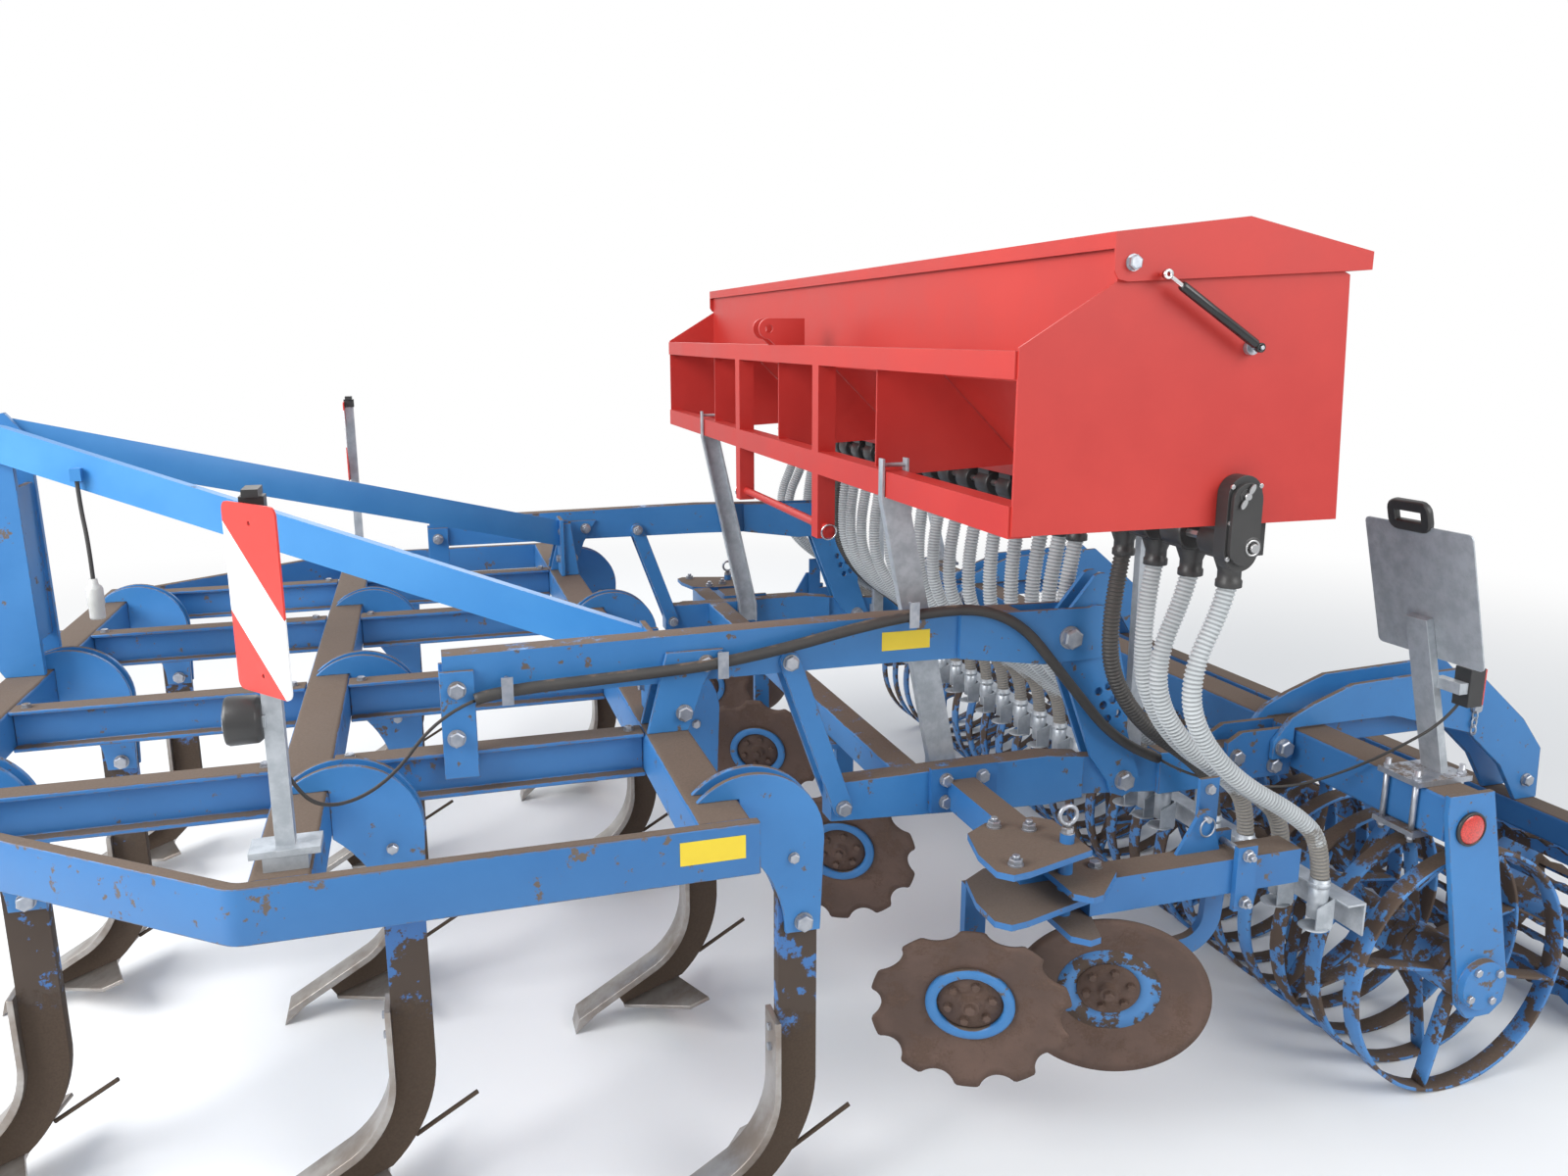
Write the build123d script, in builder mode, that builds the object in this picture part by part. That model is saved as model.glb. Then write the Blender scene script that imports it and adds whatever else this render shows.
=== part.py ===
from build123d import *
from math import cos, radians, sin, sqrt
import os

os.makedirs("parts", exist_ok=True)

# Axes: X forward, Y to the machine's left, Z up, ground at Z = 0. Millimetres.

# Main frame
TUBE = 100
TUBE_R = 10
TUBE_Z = 910
TUBE_TOP = TUBE_Z + TUBE / 2
TUBE_LOW = TUBE_Z - TUBE / 2
REAR_X, MIDDLE_X, FRONT_X = 520, 1260, 2000
FRAME_HALF = 1490
FRONT_HALF = 1030
BEAM_YS = (-950, -370, 370, 950)
BEAM_W = 60
FLANGE_T = 10
WEB_T = 10
RAIL_T = 25
RAIL_REAR_X = 460
RAIL_KINK_X = 1330
RAIL_SLOPE = 330 / 415
RAIL_BEND_R = 50

# Tines
STEM_T = 30
CARRIER_T = 12
CHISEL_HALF = 38
WING_HALF = 165
WING_T = 10
WING_TILT = 19.7
ROD_R = 5

# Depth linkage
ARM_Y = 950
ARM_W = 60
CHEEK_T = 12

# Discs
DISC_R = 215
DISC_T = 5
DISC_DEPTH = 35
DISC_HUB_R = 50
DISC_AXLE_R = 17.5
DISC_RUN = 0.4
DISC_FACE_GAP = 6
DISC_TILT = (0.444, 0.871, -0.208)

# Front roller
ROLL_X, ROLL_Z, ROLL_R = -1310, 315, 315
RING_PITCH, RING_COUNT = 125, 24
RING_W, RING_T = 45, 10
RING_SIDES = 30
SHAFT_R = 45
STUB_R = 22
STUB_RUN = 0.5

# Rear roller
CAGE_X, CAGE_Z, CAGE_R = -1993, 200, 200
CAGE_BARS = 10
CAGE_DISC_YS = (-1440, -960, -480, 0, 480, 960, 1440)

# Seed box
BOX_HALF = 1500
PANEL_T = 6
WALL_T = 5
LID_GAP = 6
LID_T = 4
HINGE_X, HINGE_Z = -240, 1940
STRUT_Y = 1530
STRUT_LOW = Vector(-512, STRUT_Y, 1790)
STRUT_HIGH = Vector(-300, STRUT_Y, 1920)
PIN_R = 6
PIN_RUN = 0.3
SEED_ROW_YS = (90, 270, 450, 630, 810, 1018, 1180, 1350)


def at_y(*values):
    """Upright planes along the machine, drawn in X and Z."""
    return [Plane.XZ.offset(-value) for value in values]


def at_x(*values):
    """Upright planes across the machine, drawn in Y and Z."""
    return [Plane.YZ.offset(value) for value in values]


def both(values):
    """Each distance taken to the right and to the left of the middle."""
    return [side * value for side in (-1, 1) for value in values]


with BuildPart() as front_tube:
    with BuildSketch(*at_y(0)):
        with Locations((FRONT_X, TUBE_Z)):
            RectangleRounded(TUBE, TUBE, TUBE_R)
    extrude(amount=FRONT_HALF, both=True)

with BuildPart() as middle_tube:
    with BuildSketch(*at_y(0)):
        with Locations((MIDDLE_X, TUBE_Z)):
            RectangleRounded(TUBE, TUBE, TUBE_R)
    extrude(amount=FRAME_HALF, both=True)

with BuildPart() as rear_tube:
    with BuildSketch(*at_y(0)):
        with Locations((REAR_X, TUBE_Z)):
            RectangleRounded(TUBE, TUBE, TUBE_R)
    extrude(amount=FRAME_HALF, both=True)

# columns: from tube, to tube
BEAM_BAYS = ((REAR_X, MIDDLE_X), (MIDDLE_X, FRONT_X))
with BuildPart() as long_beams:
    for bay_rear, bay_front in BEAM_BAYS:
        with BuildSketch(*at_x(bay_rear + TUBE / 2)):
            with Locations(*[(y, TUBE_Z) for y in BEAM_YS]):
                Rectangle(BEAM_W, TUBE)
            recess = (BEAM_W - WEB_T) / 2
            for y in BEAM_YS:
                with Locations((y - WEB_T / 2 - recess / 2, TUBE_Z), (y + WEB_T / 2 + recess / 2, TUBE_Z)):
                    Rectangle(recess, TUBE - 2 * FLANGE_T, mode=Mode.SUBTRACT)
        extrude(amount=bay_front - bay_rear - TUBE)

rail_y = FRAME_HALF + RAIL_T / 2
with BuildPart() as side_rails:
    with BuildSketch(Plane.XY.offset(TUBE_LOW)):
        with BuildLine():
            FilletPolyline(
                (RAIL_REAR_X, rail_y),
                (RAIL_KINK_X, rail_y),
                (FRONT_X + 20, rail_y - (FRONT_X + 20 - RAIL_KINK_X) * RAIL_SLOPE),
                radius=RAIL_BEND_R,
            )
        trace(line_width=RAIL_T)
        with Locations((FRONT_X - TUBE / 2 + 100, FRONT_HALF)):
            Rectangle(200, 200, mode=Mode.SUBTRACT)
    extrude(amount=TUBE)
    mirror(about=Plane.XZ)

# columns: tube x, tine lines
TINE_ROWS = (
    (REAR_X, (1375, 550, -275, -1100)),
    (MIDDLE_X, (1100, 275, -550, -1375)),
    (FRONT_X, (825, 0, -825)),
)
with BuildPart() as tine_carriers:
    plate_offset = (STEM_T + CARRIER_T) / 2
    for x, lines in TINE_ROWS:
        with BuildSketch(*at_y(*[y + side * plate_offset for y in lines for side in (-1, 1)])):
            with BuildLine():
                Polyline((x - 50, TUBE_LOW), (x - 50, TUBE_TOP), (x + 32, TUBE_TOP))
                ThreePointArc((x + 32, TUBE_TOP), (x - 74, 1007), (x - 221, 861))
                Polyline((x - 221, 861), (x - 213, 667), (x - 142, 668))
                ThreePointArc((x - 142, 668), (x - 112, 785), (x - 50, TUBE_LOW))
            make_face()
        extrude(amount=CARRIER_T / 2, both=True)

with BuildPart() as tine_stems:
    for x, lines in TINE_ROWS:
        with BuildSketch(*at_y(*lines)):
            with BuildLine():
                Polyline((x - 210, 330), (x - 210, 880), (x - 130, 880), (x - 130, 330))
                ThreePointArc((x - 130, 330), (x - 108, 228), (x - 40, 150))
                Polyline((x - 40, 150), (x + 70, 84), (x + 52, 54), (x - 110, 112))
                ThreePointArc((x - 110, 112), (x - 178, 205), (x - 210, 330))
            make_face()
        extrude(amount=STEM_T / 2, both=True)
        with BuildSketch(*[Plane(origin=(x - 160, y, 165), x_dir=(0, 1, 0), z_dir=(-0.86, 0, 0.5))
                           for y in lines]):
            Circle(ROD_R)
        extrude(amount=150)

with BuildPart() as shares:
    wing_run = (cos(radians(WING_TILT)), 0, -sin(radians(WING_TILT)))
    wing_up = (sin(radians(WING_TILT)), 0, cos(radians(WING_TILT)))
    for x, lines in TINE_ROWS:
        with BuildSketch(*at_y(*lines)):
            with BuildLine():
                Polyline((x - 130, 480), (x - 118, 480), (x - 118, 332))
                ThreePointArc((x - 118, 332), (x - 96, 240), (x - 33, 166))
                Polyline((x - 33, 166), (x + 174, 42), (x + 185, 0), (x + 130, 48), (x + 70, 84), (x - 40, 150))
                ThreePointArc((x - 40, 150), (x - 108, 228), (x - 130, 330))
                Line((x - 130, 330), (x - 130, 480))
            make_face()
        extrude(amount=CHISEL_HALF, both=True)
        with BuildSketch(*[Plane(origin=(x - 30, y, 83.35), x_dir=wing_run, z_dir=wing_up) for y in lines]):
            with BuildLine():
                Polyline(
                    (88, 0), (88, 20), (-70, WING_HALF), (-125, WING_HALF), (-75, 20), (-75, -20),
                    (-125, -WING_HALF), (-70, -WING_HALF), (88, -20), (88, 0),
                )
            make_face()
        extrude(amount=-WING_T)

# Mast, braces and hitch
MAST_IN, MAST_T = 65, 20
MAST_OUT = MAST_IN + MAST_T
TOP_BORE = (2095, 1500)
TOP_BORE_R = 16.5
with BuildPart() as mast:
    with BuildSketch(*at_y(*both([MAST_IN + MAST_T / 2]))):
        with BuildLine():
            Polyline(
                (1955, TUBE_TOP), (2045, TUBE_TOP), (2125, 1110), (2140, 1530), (2100, 1600), (2010, 1620),
                (1962, 1560), (1955, TUBE_TOP),
            )
        make_face()
        with Locations(TOP_BORE, (2088, 1420)):
            Circle(TOP_BORE_R, mode=Mode.SUBTRACT)
    extrude(amount=MAST_T / 2, both=True)
    with BuildSketch(*at_y(0)):
        with Locations((1976, 1240)):
            Rectangle(16, 400)
    extrude(amount=MAST_IN, both=True)

BRACE_TOP = Vector(2035, 60, 1570)
BRACE_FOOT = Vector(480, 850, 1095)
BRACE_H, BRACE_T = 90, 25
BRACE_PLATE_X = 540
brace_run = BRACE_FOOT - BRACE_TOP
with BuildPart() as mast_braces:
    with BuildSketch(Plane(origin=BRACE_TOP, x_dir=Vector(0, 0, 1).cross(brace_run), z_dir=brace_run)):
        Rectangle(BRACE_T, BRACE_H)
    extrude(amount=brace_run.length)
    with Locations((BRACE_TOP.X, 0, BRACE_TOP.Z)):
        Box(400, 2 * MAST_OUT, 400, mode=Mode.SUBTRACT)
    with Locations((BRACE_PLATE_X - 100, 850, BRACE_FOOT.Z)):
        Box(200, 300, 300, mode=Mode.SUBTRACT)
    mirror(about=Plane.XZ)
    with Locations((1795, 206, 1485)):
        Box(24, 32, 30)

with BuildPart() as brace_brackets:
    with BuildSketch(*at_x(BRACE_PLATE_X)):
        with Locations((837, (TUBE_TOP + 1165) / 2)):
            Rectangle(110, 1165 - TUBE_TOP)
    extrude(amount=-14)
    with BuildSketch(*at_y(800, 874)):
        with BuildLine():
            Polyline((BRACE_PLATE_X - 14, TUBE_TOP), (BRACE_PLATE_X - 14, 1150), (500, 1150), (475, TUBE_TOP),
                     (BRACE_PLATE_X - 14, TUBE_TOP))
        make_face()
    extrude(amount=6, both=True)
    mirror(about=Plane.XZ)

LINK_Y, LINK_GAP, LINK_T = 450, 60, 20
LINK_PIN = (2130, 800)
LINK_PIN_R = 18.3
link_front = FRONT_X + TUBE / 2
with BuildPart() as link_brackets:
    with BuildSketch(*at_y(*both([LINK_Y - (LINK_GAP + LINK_T) / 2, LINK_Y + (LINK_GAP + LINK_T) / 2]))):
        with BuildLine():
            Polyline((link_front, TUBE_LOW), (link_front, 945), (2092, 945), (2180, 830), (2180, 785))
            ThreePointArc((2180, 785), (2164, 756), (2130, 750))
            Polyline((2130, 750), (2075, 750), (2000, TUBE_LOW), (link_front, TUBE_LOW))
        make_face()
        with Locations(LINK_PIN):
            Circle(LINK_PIN_R, mode=Mode.SUBTRACT)
    extrude(amount=LINK_T / 2, both=True)

LINK_PIN_LENGTH = 140
with BuildPart() as link_pins:
    with BuildSketch(*at_y(*both([LINK_Y]))):
        with Locations(LINK_PIN):
            Circle(LINK_PIN_R)
    extrude(amount=LINK_PIN_LENGTH / 2, both=True)

# Depth linkage, the same on both sides
PIVOT = (-472, 1098)
with BuildPart() as upper_arms:
    with BuildSketch(*at_y(*both([ARM_Y]))):
        with BuildLine():
            Polyline((986, 1069), (986, 1168), (0, 1181), (-340, 1172), (-340, 1064), (0, 1070), (986, 1069))
        make_face()
    extrude(amount=ARM_W / 2, both=True)
    with BuildSketch(*at_y(*both([ARM_Y - (ARM_W + CHEEK_T) / 2, ARM_Y + (ARM_W + CHEEK_T) / 2]))):
        with BuildLine():
            Polyline((-180, 1068), (-180, 1174), (-520, 1168))
            ThreePointArc((-520, 1168), (-610, 1100), (-540, 1038))
            Polyline((-540, 1038), (-400, 1036), (-180, 1068))
        make_face()
    extrude(amount=CHEEK_T / 2, both=True)

with BuildPart() as arm_brackets:
    with BuildSketch(*at_y(*both([ARM_Y - (ARM_W + CHEEK_T) / 2, ARM_Y + (ARM_W + CHEEK_T) / 2]))):
        with BuildLine():
            Polyline((994, 905), (994, 1137), (924, 1137), (924, 905), (994, 905))
        make_face()
        with BuildLine():
            Polyline((566, TUBE_TOP), (520, 1140), (392, 1140), (440, 1060), (474, TUBE_TOP), (566, TUBE_TOP))
        make_face()
    extrude(amount=CHEEK_T / 2, both=True)

STRAP_TOP, STRAP_FOOT = (237, 1095), (107, 730)
STRAP_W, STRAP_T = 48, 12
strap_run = Vector(STRAP_FOOT[0] - STRAP_TOP[0], STRAP_FOOT[1] - STRAP_TOP[1])
with BuildPart() as strap_links:
    with BuildSketch(*at_y(*both([ARM_Y - (ARM_W + STRAP_T) / 2, ARM_Y + (ARM_W + STRAP_T) / 2]))):
        with BuildLine():
            Line(STRAP_TOP, STRAP_FOOT)
        trace(line_width=STRAP_W)
        with Locations(STRAP_TOP, STRAP_FOOT):
            Circle(STRAP_W / 2)
    extrude(amount=STRAP_T / 2, both=True)

HOLE_PLATE_T = 12
TONGUE_HALF = ARM_W / 2 - HOLE_PLATE_T
with BuildPart() as hole_plates:
    with BuildSketch(*at_y(*both([ARM_Y - TONGUE_HALF - HOLE_PLATE_T / 2,
                                  ARM_Y + TONGUE_HALF + HOLE_PLATE_T / 2]))):
        with BuildLine():
            Polyline((-560, 775), (-432, 1105), (-545, 1245), (-575, 1245), (-655, 930), (-660, 835), (-702, 705))
            ThreePointArc((-702, 705), (-657, 660), (-612, 705))
            Line((-612, 705), (-560, 775))
        make_face()
    extrude(amount=HOLE_PLATE_T / 2, both=True)

ROLL_TUBE = 110
ROLL_TUBE_X, ROLL_TUBE_Z = -1215, 740
ROLL_TUBE_TOP = ROLL_TUBE_Z + ROLL_TUBE / 2
roll_tube_front = ROLL_TUBE_X + ROLL_TUBE / 2
roll_tube_rear = ROLL_TUBE_X - ROLL_TUBE / 2
with BuildPart() as lower_arms:
    with BuildSketch(*at_y(*both([ARM_Y]))):
        with BuildLine():
            Polyline((135, 694), (135, 788), (-434, 794), (-540, 780), (-540, 672), (-434, 664), (135, 694))
        make_face()
        with BuildLine():
            Polyline((-765, 652), (-765, 765), (roll_tube_front, 752), (roll_tube_front, 692), (-970, 652),
                     (-765, 652))
        make_face()
    extrude(amount=ARM_W / 2, both=True)
    with BuildSketch(*at_y(*both([ARM_Y]))):
        with BuildLine():
            Polyline((-540, 676), (-540, 776), (-765, 762), (-765, 656), (-540, 676))
        make_face()
    extrude(amount=TONGUE_HALF, both=True)

# Levelling discs on their beam
DISC_BEAM = 75
DISC_BEAM_X, DISC_BEAM_Z = -75, 752.5
disc_beam_low = DISC_BEAM_Z - DISC_BEAM / 2
with BuildPart() as disc_beam:
    with BuildSketch(*at_y(0)):
        with Locations((DISC_BEAM_X, DISC_BEAM_Z)):
            RectangleRounded(DISC_BEAM, DISC_BEAM, 8)
    extrude(amount=ARM_Y - ARM_W / 2, both=True)
    with BuildSketch(*at_y(-ARM_Y - ARM_W / 2)):
        with Locations((DISC_BEAM_X, DISC_BEAM_Z)):
            RectangleRounded(DISC_BEAM, DISC_BEAM, 8)
    extrude(amount=220)

tilt =Vector(*DISC_TILT).normalized()
tilt_right = Vector(tilt.X, -tilt.Y, tilt.Z)
# columns: name, centre, axis
DISCS = (
    ("disc_inner_left", Vector(-50, 550, 410), tilt),
    ("disc_inner_middle", Vector(-50, -275, 410), tilt),
    ("disc_inner_right", Vector(-50, -1100, 410), tilt),
    ("disc_edge_front_left", Vector(-60, 1340, 405), tilt),
    ("disc_edge_rear_left", Vector(-385, 1368, 395), tilt),
    ("disc_edge_front_right", Vector(-60, -1340, 405), tilt_right),
    ("disc_edge_rear_right", Vector(-385, -1368, 395), tilt_right),
)
HUB_BACK = 26
HUB_FRONT = 16
AXLE_FRONT = 4
HOUSING_R, HOUSING_L = 42, 60
disc_parts = {}
for name, centre, axis in DISCS:
    across = Vector(0, 0, 1).cross(axis).normalized()
    with BuildPart() as disc:
        with BuildSketch(Plane(origin=centre, x_dir=across, z_dir=across.cross(axis))):
            with BuildLine():
                Polyline(
                    (0, 0), (95, 0), (DISC_R, DISC_DEPTH), (DISC_R, DISC_DEPTH - DISC_T * 1.04),
                    (95, -DISC_T), (0, -DISC_T), (0, 0),
                )
            make_face()
        revolve(axis=Axis(centre, axis))
        if "rear" not in name:
            with BuildSketch(Plane(origin=centre, x_dir=across, z_dir=axis)):
                with PolarLocations(DISC_R + 25, 10):
                    Circle(50)
            extrude(amount=DISC_DEPTH + 20, mode=Mode.SUBTRACT)
        with BuildSketch(Plane(origin=centre - axis * HUB_BACK, x_dir=across, z_dir=axis)):
            Circle(DISC_HUB_R)
        extrude(amount=HUB_BACK + HUB_FRONT)
        with BuildSketch(Plane(origin=centre - axis * HUB_BACK, x_dir=across, z_dir=axis)):
            Circle(DISC_AXLE_R + DISC_RUN)
        extrude(amount=HUB_BACK + AXLE_FRONT + 1, mode=Mode.SUBTRACT)
    disc_parts[name] = disc

with BuildPart() as disc_holders:
    for name, centre, axis in DISCS:
        if "inner" not in name:
            continue
        across = Vector(0, 0, 1).cross(axis).normalized()
        back = centre - axis * (HUB_BACK + DISC_FACE_GAP)
        with BuildSketch(Plane(origin=back, x_dir=across, z_dir=axis)):
            Circle(HOUSING_R)
        extrude(amount=-HOUSING_L)
        with BuildSketch(Plane(origin=back, x_dir=across, z_dir=axis)):
            Circle(DISC_AXLE_R)
        extrude(amount=HUB_BACK + DISC_FACE_GAP + AXLE_FRONT)
        foot = back - axis * (HOUSING_L / 2)
        with Locations((foot.X, foot.Y, (foot.Z + 20 + disc_beam_low) / 2)):
            Box(50, 22, disc_beam_low - foot.Z - 20)
        with Locations((DISC_BEAM_X, foot.Y, disc_beam_low - 7)):
            Box(100, 90, 14)

# Edge disc arms: bracket, stub tube, two hinge plates, rearward tube and the two hubs
EDGE_PLATE_T = 14
EDGE_TOP_Z, EDGE_LOW_Z = 762, 655
EDGE_TUBE_TOP, EDGE_TUBE_LOW = 693, 613
with BuildPart() as edge_arms:
    with Locations((-203, 987.5, 745)):
        Box(174, 15, 110)
    with Locations((-195, 1150, 733)):
        Box(70, 310, 70)
    with BuildSketch(Plane.XY.offset(EDGE_TOP_Z), Plane.XY.offset(EDGE_LOW_Z)):
        with BuildLine():
            Polyline(
                (-270, 1450), (-270, 1290), (-235, 1262), (-120, 1262), (-60, 1300), (-35, 1400), (-35, 1480),
                (-60, 1505), (-100, 1500), (-270, 1450),
            )
        make_face()
    extrude(amount=EDGE_PLATE_T)
    with Locations((-195, 1320, (EDGE_TOP_Z + EDGE_LOW_Z + EDGE_PLATE_T) / 2)):
        Box(70, 70, EDGE_TOP_Z - EDGE_LOW_Z + EDGE_PLATE_T)
    # columns: underside, rearmost reach
    for low, reach in ((EDGE_TUBE_TOP, -345), (EDGE_TUBE_LOW - EDGE_PLATE_T, -290)):
        with BuildSketch(Plane.XY.offset(low)):
            with BuildLine():
                Polyline(
                    (-205, 1370), (-205, 1490), (-235, 1518), (-262, 1512), (reach, 1430), (reach, 1356),
                    (-240, 1345), (-205, 1370),
                )
            make_face()
        extrude(amount=EDGE_PLATE_T)
    with Locations((-240, 1400, 697)):
        Cylinder(15, 200)
    with Locations((-552.5, 1392.5, (EDGE_TUBE_TOP + EDGE_TUBE_LOW) / 2)):
        Box(535, 75, EDGE_TUBE_TOP - EDGE_TUBE_LOW)
    with Locations((-665, 1437, 650), (-665, 1349, 650)):
        Box(50, 14, 150)
    with BuildSketch(*at_y(1372)):
        with BuildLine():
            Polyline((-645, 690), (-530, 690), (-590, 790), (-612, 790), (-645, 690))
        make_face()
    extrude(amount=5, both=True)
    with Locations((-622, 1351, 770)):
        Box(50, 10, 170)
    with BuildLine():
        FilletPolyline((-662, 1349, 620), (-658, 1340, 455), (-420, 1317, 410), radius=80)
    with BuildSketch(Plane(origin=(-662, 1349, 620), x_dir=(1, 0, 0), z_dir=(4, -9, -165))):
        Rectangle(50, 18)
    sweep()
    for name, centre, axis in DISCS:
        if "edge" not in name or "left" not in name:
            continue
        across = Vector(0, 0, 1).cross(axis).normalized()
        back = centre - axis * (HUB_BACK + DISC_FACE_GAP)
        with BuildSketch(Plane(origin=back, x_dir=across, z_dir=axis)):
            Circle(HOUSING_R)
        extrude(amount=-HOUSING_L)
        with BuildSketch(Plane(origin=back, x_dir=across, z_dir=axis)):
            Circle(DISC_AXLE_R)
        extrude(amount=HUB_BACK + DISC_FACE_GAP + AXLE_FRONT)
        foot = back - axis * (HOUSING_L / 2)
        if "front" in name:
            with Locations((foot.X, foot.Y, (foot.Z + 20 + EDGE_LOW_Z) / 2)):
                Box(50, 22, EDGE_LOW_Z - foot.Z - 20)
    mirror(about=Plane.XZ)

# Front roller: tube, end plates, rings
END_IN, END_T = 1485, 15
with BuildPart() as roller_beam:
    with BuildSketch(*at_y(0)):
        with Locations((ROLL_TUBE_X, ROLL_TUBE_Z)):
            RectangleRounded(ROLL_TUBE, ROLL_TUBE, TUBE_R)
    extrude(amount=END_IN, both=True)
    with BuildSketch(*at_y(*both([ARM_Y]))):
        with Locations(((roll_tube_rear - 1780) / 2, 760)):
            Rectangle(1780 + roll_tube_rear, 55)
    extrude(amount=18, both=True)
    with BuildSketch(*at_y(*both([ARM_Y - ARM_W / 2 - 7.5, ARM_Y + ARM_W / 2 + 7.5]))):
        with BuildLine():
            Polyline((-956, 668), (-956, 775), (-1000, 800), (roll_tube_front, 800), (roll_tube_front, 668),
                     (-956, 668))
        make_face()
    extrude(amount=7.5, both=True)

with BuildPart() as roller_ends:
    with BuildSketch(*at_y(*both([END_IN + END_T / 2]))):
        with BuildLine():
            Polyline((-1154, 751), (-1154, 801), (-1281, 801), (-1402, 300), (-1395, 250), (-1360, 222),
                     (-1290, 222), (-1258, 260), (-1154, 751))
        make_face()
    extrude(amount=END_T / 2, both=True)
    with BuildSketch(*at_y(*both([END_IN + END_T + 9]))):
        with Locations((ROLL_X, ROLL_Z)):
            Circle(62)
    extrude(amount=9, both=True)
    with BuildSketch(*at_y(*both([END_IN + 5]))):
        with Locations((ROLL_X, ROLL_Z)):
            Circle(STUB_R + STUB_RUN)
    extrude(amount=25, both=True, mode=Mode.SUBTRACT)

ring_ys = [(index - (RING_COUNT - 1) / 2) * RING_PITCH for index in range(RING_COUNT)]
with BuildPart() as front_roller:
    with BuildSketch(*at_y(*ring_ys)):
        with Locations((ROLL_X, ROLL_Z)):
            RegularPolygon(ROLL_R, RING_SIDES, rotation=90)
            RegularPolygon(ROLL_R - RING_T, RING_SIDES, rotation=90, mode=Mode.SUBTRACT)
    extrude(amount=RING_W / 2, both=True)
    with BuildSketch(*at_y(*ring_ys)):
        with Locations((ROLL_X, ROLL_Z)):
            Rectangle(2 * (ROLL_R - RING_T) - 2, 12)
            Rectangle(12, 2 * (ROLL_R - RING_T) - 2)
    extrude(amount=RING_W / 2 - 6, both=True)
    with BuildSketch(*at_y(0)):
        with Locations((ROLL_X, ROLL_Z)):
            Circle(SHAFT_R)
    extrude(amount=END_IN - 8, both=True)
    with BuildSketch(*at_y(0)):
        with Locations((ROLL_X, ROLL_Z)):
            Circle(STUB_R)
    extrude(amount=END_IN + END_T, both=True)

with BuildPart() as arch_plates:
    inner, outer = ARM_W / 2 + 15, ARM_W / 2 + 30
    with BuildSketch(*at_y(*both([ARM_Y - (inner + outer) / 2, ARM_Y + (inner + outer) / 2]))):
        with BuildLine():
            Polyline(
                (-1088, 720), (-1088, 770), (-1140, 830), (-1212, 863), (-1333, 905), (-1460, 909), (-1739, 919),
                (-1948, 747), (-2028, 651), (-2036, 500), (-1956, 500), (-1883, 612), (-1751, 725),
                (-1476, 802), (-1152, 802), (-1152, 720), (-1088, 720),
            )
        make_face()
    extrude(amount=7.5, both=True)

CAGE_TUBE, CAGE_TUBE_X, CAGE_TUBE_Z = 80, -1996, 460
with BuildPart() as cage_frame:
    with BuildSketch(*at_y(0)):
        with Locations((CAGE_TUBE_X, CAGE_TUBE_Z)):
            RectangleRounded(CAGE_TUBE, CAGE_TUBE, 8)
    extrude(amount=1470, both=True)
    with BuildSketch(*at_y(*both([1477.5]))):
        with BuildLine():
            Polyline((-2036, 500), (-1950, 500), (-1925, 200), (-1950, 150), (-2010, 150), (-2036, 200),
                     (-2036, 500))
        make_face()
        with Locations((CAGE_X, CAGE_Z)):
            Circle(STUB_R + STUB_RUN, mode=Mode.SUBTRACT)
    extrude(amount=7.5, both=True)

with BuildPart() as rear_roller:
    with BuildSketch(*at_y(*CAGE_DISC_YS)):
        with Locations((CAGE_X, CAGE_Z)):
            RegularPolygon(CAGE_R - 15, 20)
    extrude(amount=5, both=True)
    with BuildSketch(*at_y(0)):
        with Locations((CAGE_X, CAGE_Z)):
            Circle(30)
    extrude(amount=1460, both=True)
    with BuildSketch(*at_y(0)):
        with Locations((CAGE_X, CAGE_Z)):
            Circle(STUB_R)
    extrude(amount=1484, both=True)
    with BuildSketch(*at_y(0)):
        with Locations((CAGE_X, CAGE_Z)):
            with PolarLocations(CAGE_R - 18, CAGE_BARS, start_angle=-90):
                Rectangle(36, 12)
    extrude(amount=1450, both=True)

# Seed rail on the roller brackets, sockets with deflectors below
with BuildPart() as seed_rail:
    with BuildSketch(*at_y(0)):
        with BuildLine():
            Polyline((-950, 495), (-950, 575), (-900, 575), (-900, 570), (-945, 570), (-945, 495), (-950, 495))
        make_face()
    extrude(amount=1500, both=True)
    with BuildSketch(*at_y(*both([ARM_Y]))):
        with BuildLine():
            Polyline((-950, 575), (-950, 652), (-905, 652), (-905, 575), (-950, 575))
        make_face()
    extrude(amount=5, both=True)

SOCKET_X, SOCKET_Z = -925, 560
with BuildPart() as seed_sockets:
    for y in both(SEED_ROW_YS):
        with Locations((-897, y, 535)):
            Box(6, 40, 80)
    with BuildSketch(*[Plane.XY.offset(420)]):
        with Locations(*[(-873, y) for y in both(SEED_ROW_YS)]):
            RegularPolygon(21, 12)
    extrude(amount=200)
    with BuildSketch(Plane.XY.offset(300)):
        with Locations(*[(-873, y) for y in both(SEED_ROW_YS)]):
            Rectangle(6, 10)
    extrude(amount=120)
    with BuildSketch(Plane.XY.offset(294)):
        with Locations(*[(-873, y) for y in both(SEED_ROW_YS)]):
            RegularPolygon(33, 12)
    extrude(amount=6)

HOSE_R = 19
METER_X, METER_LOW = -560, 1330
with BuildPart() as seed_hoses:
    for y in both(SEED_ROW_YS):
        with BuildLine():
            FilletPolyline((METER_X, y, METER_LOW), (METER_X, y, 1010), (-873, y, 690), (-873, y, 620),
                           radius=120)
        with BuildSketch(Plane(origin=(METER_X, y, METER_LOW), x_dir=(1, 0, 0), z_dir=(0, 0, -1))):
            RegularPolygon(HOSE_R, 8)
        sweep()

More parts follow.
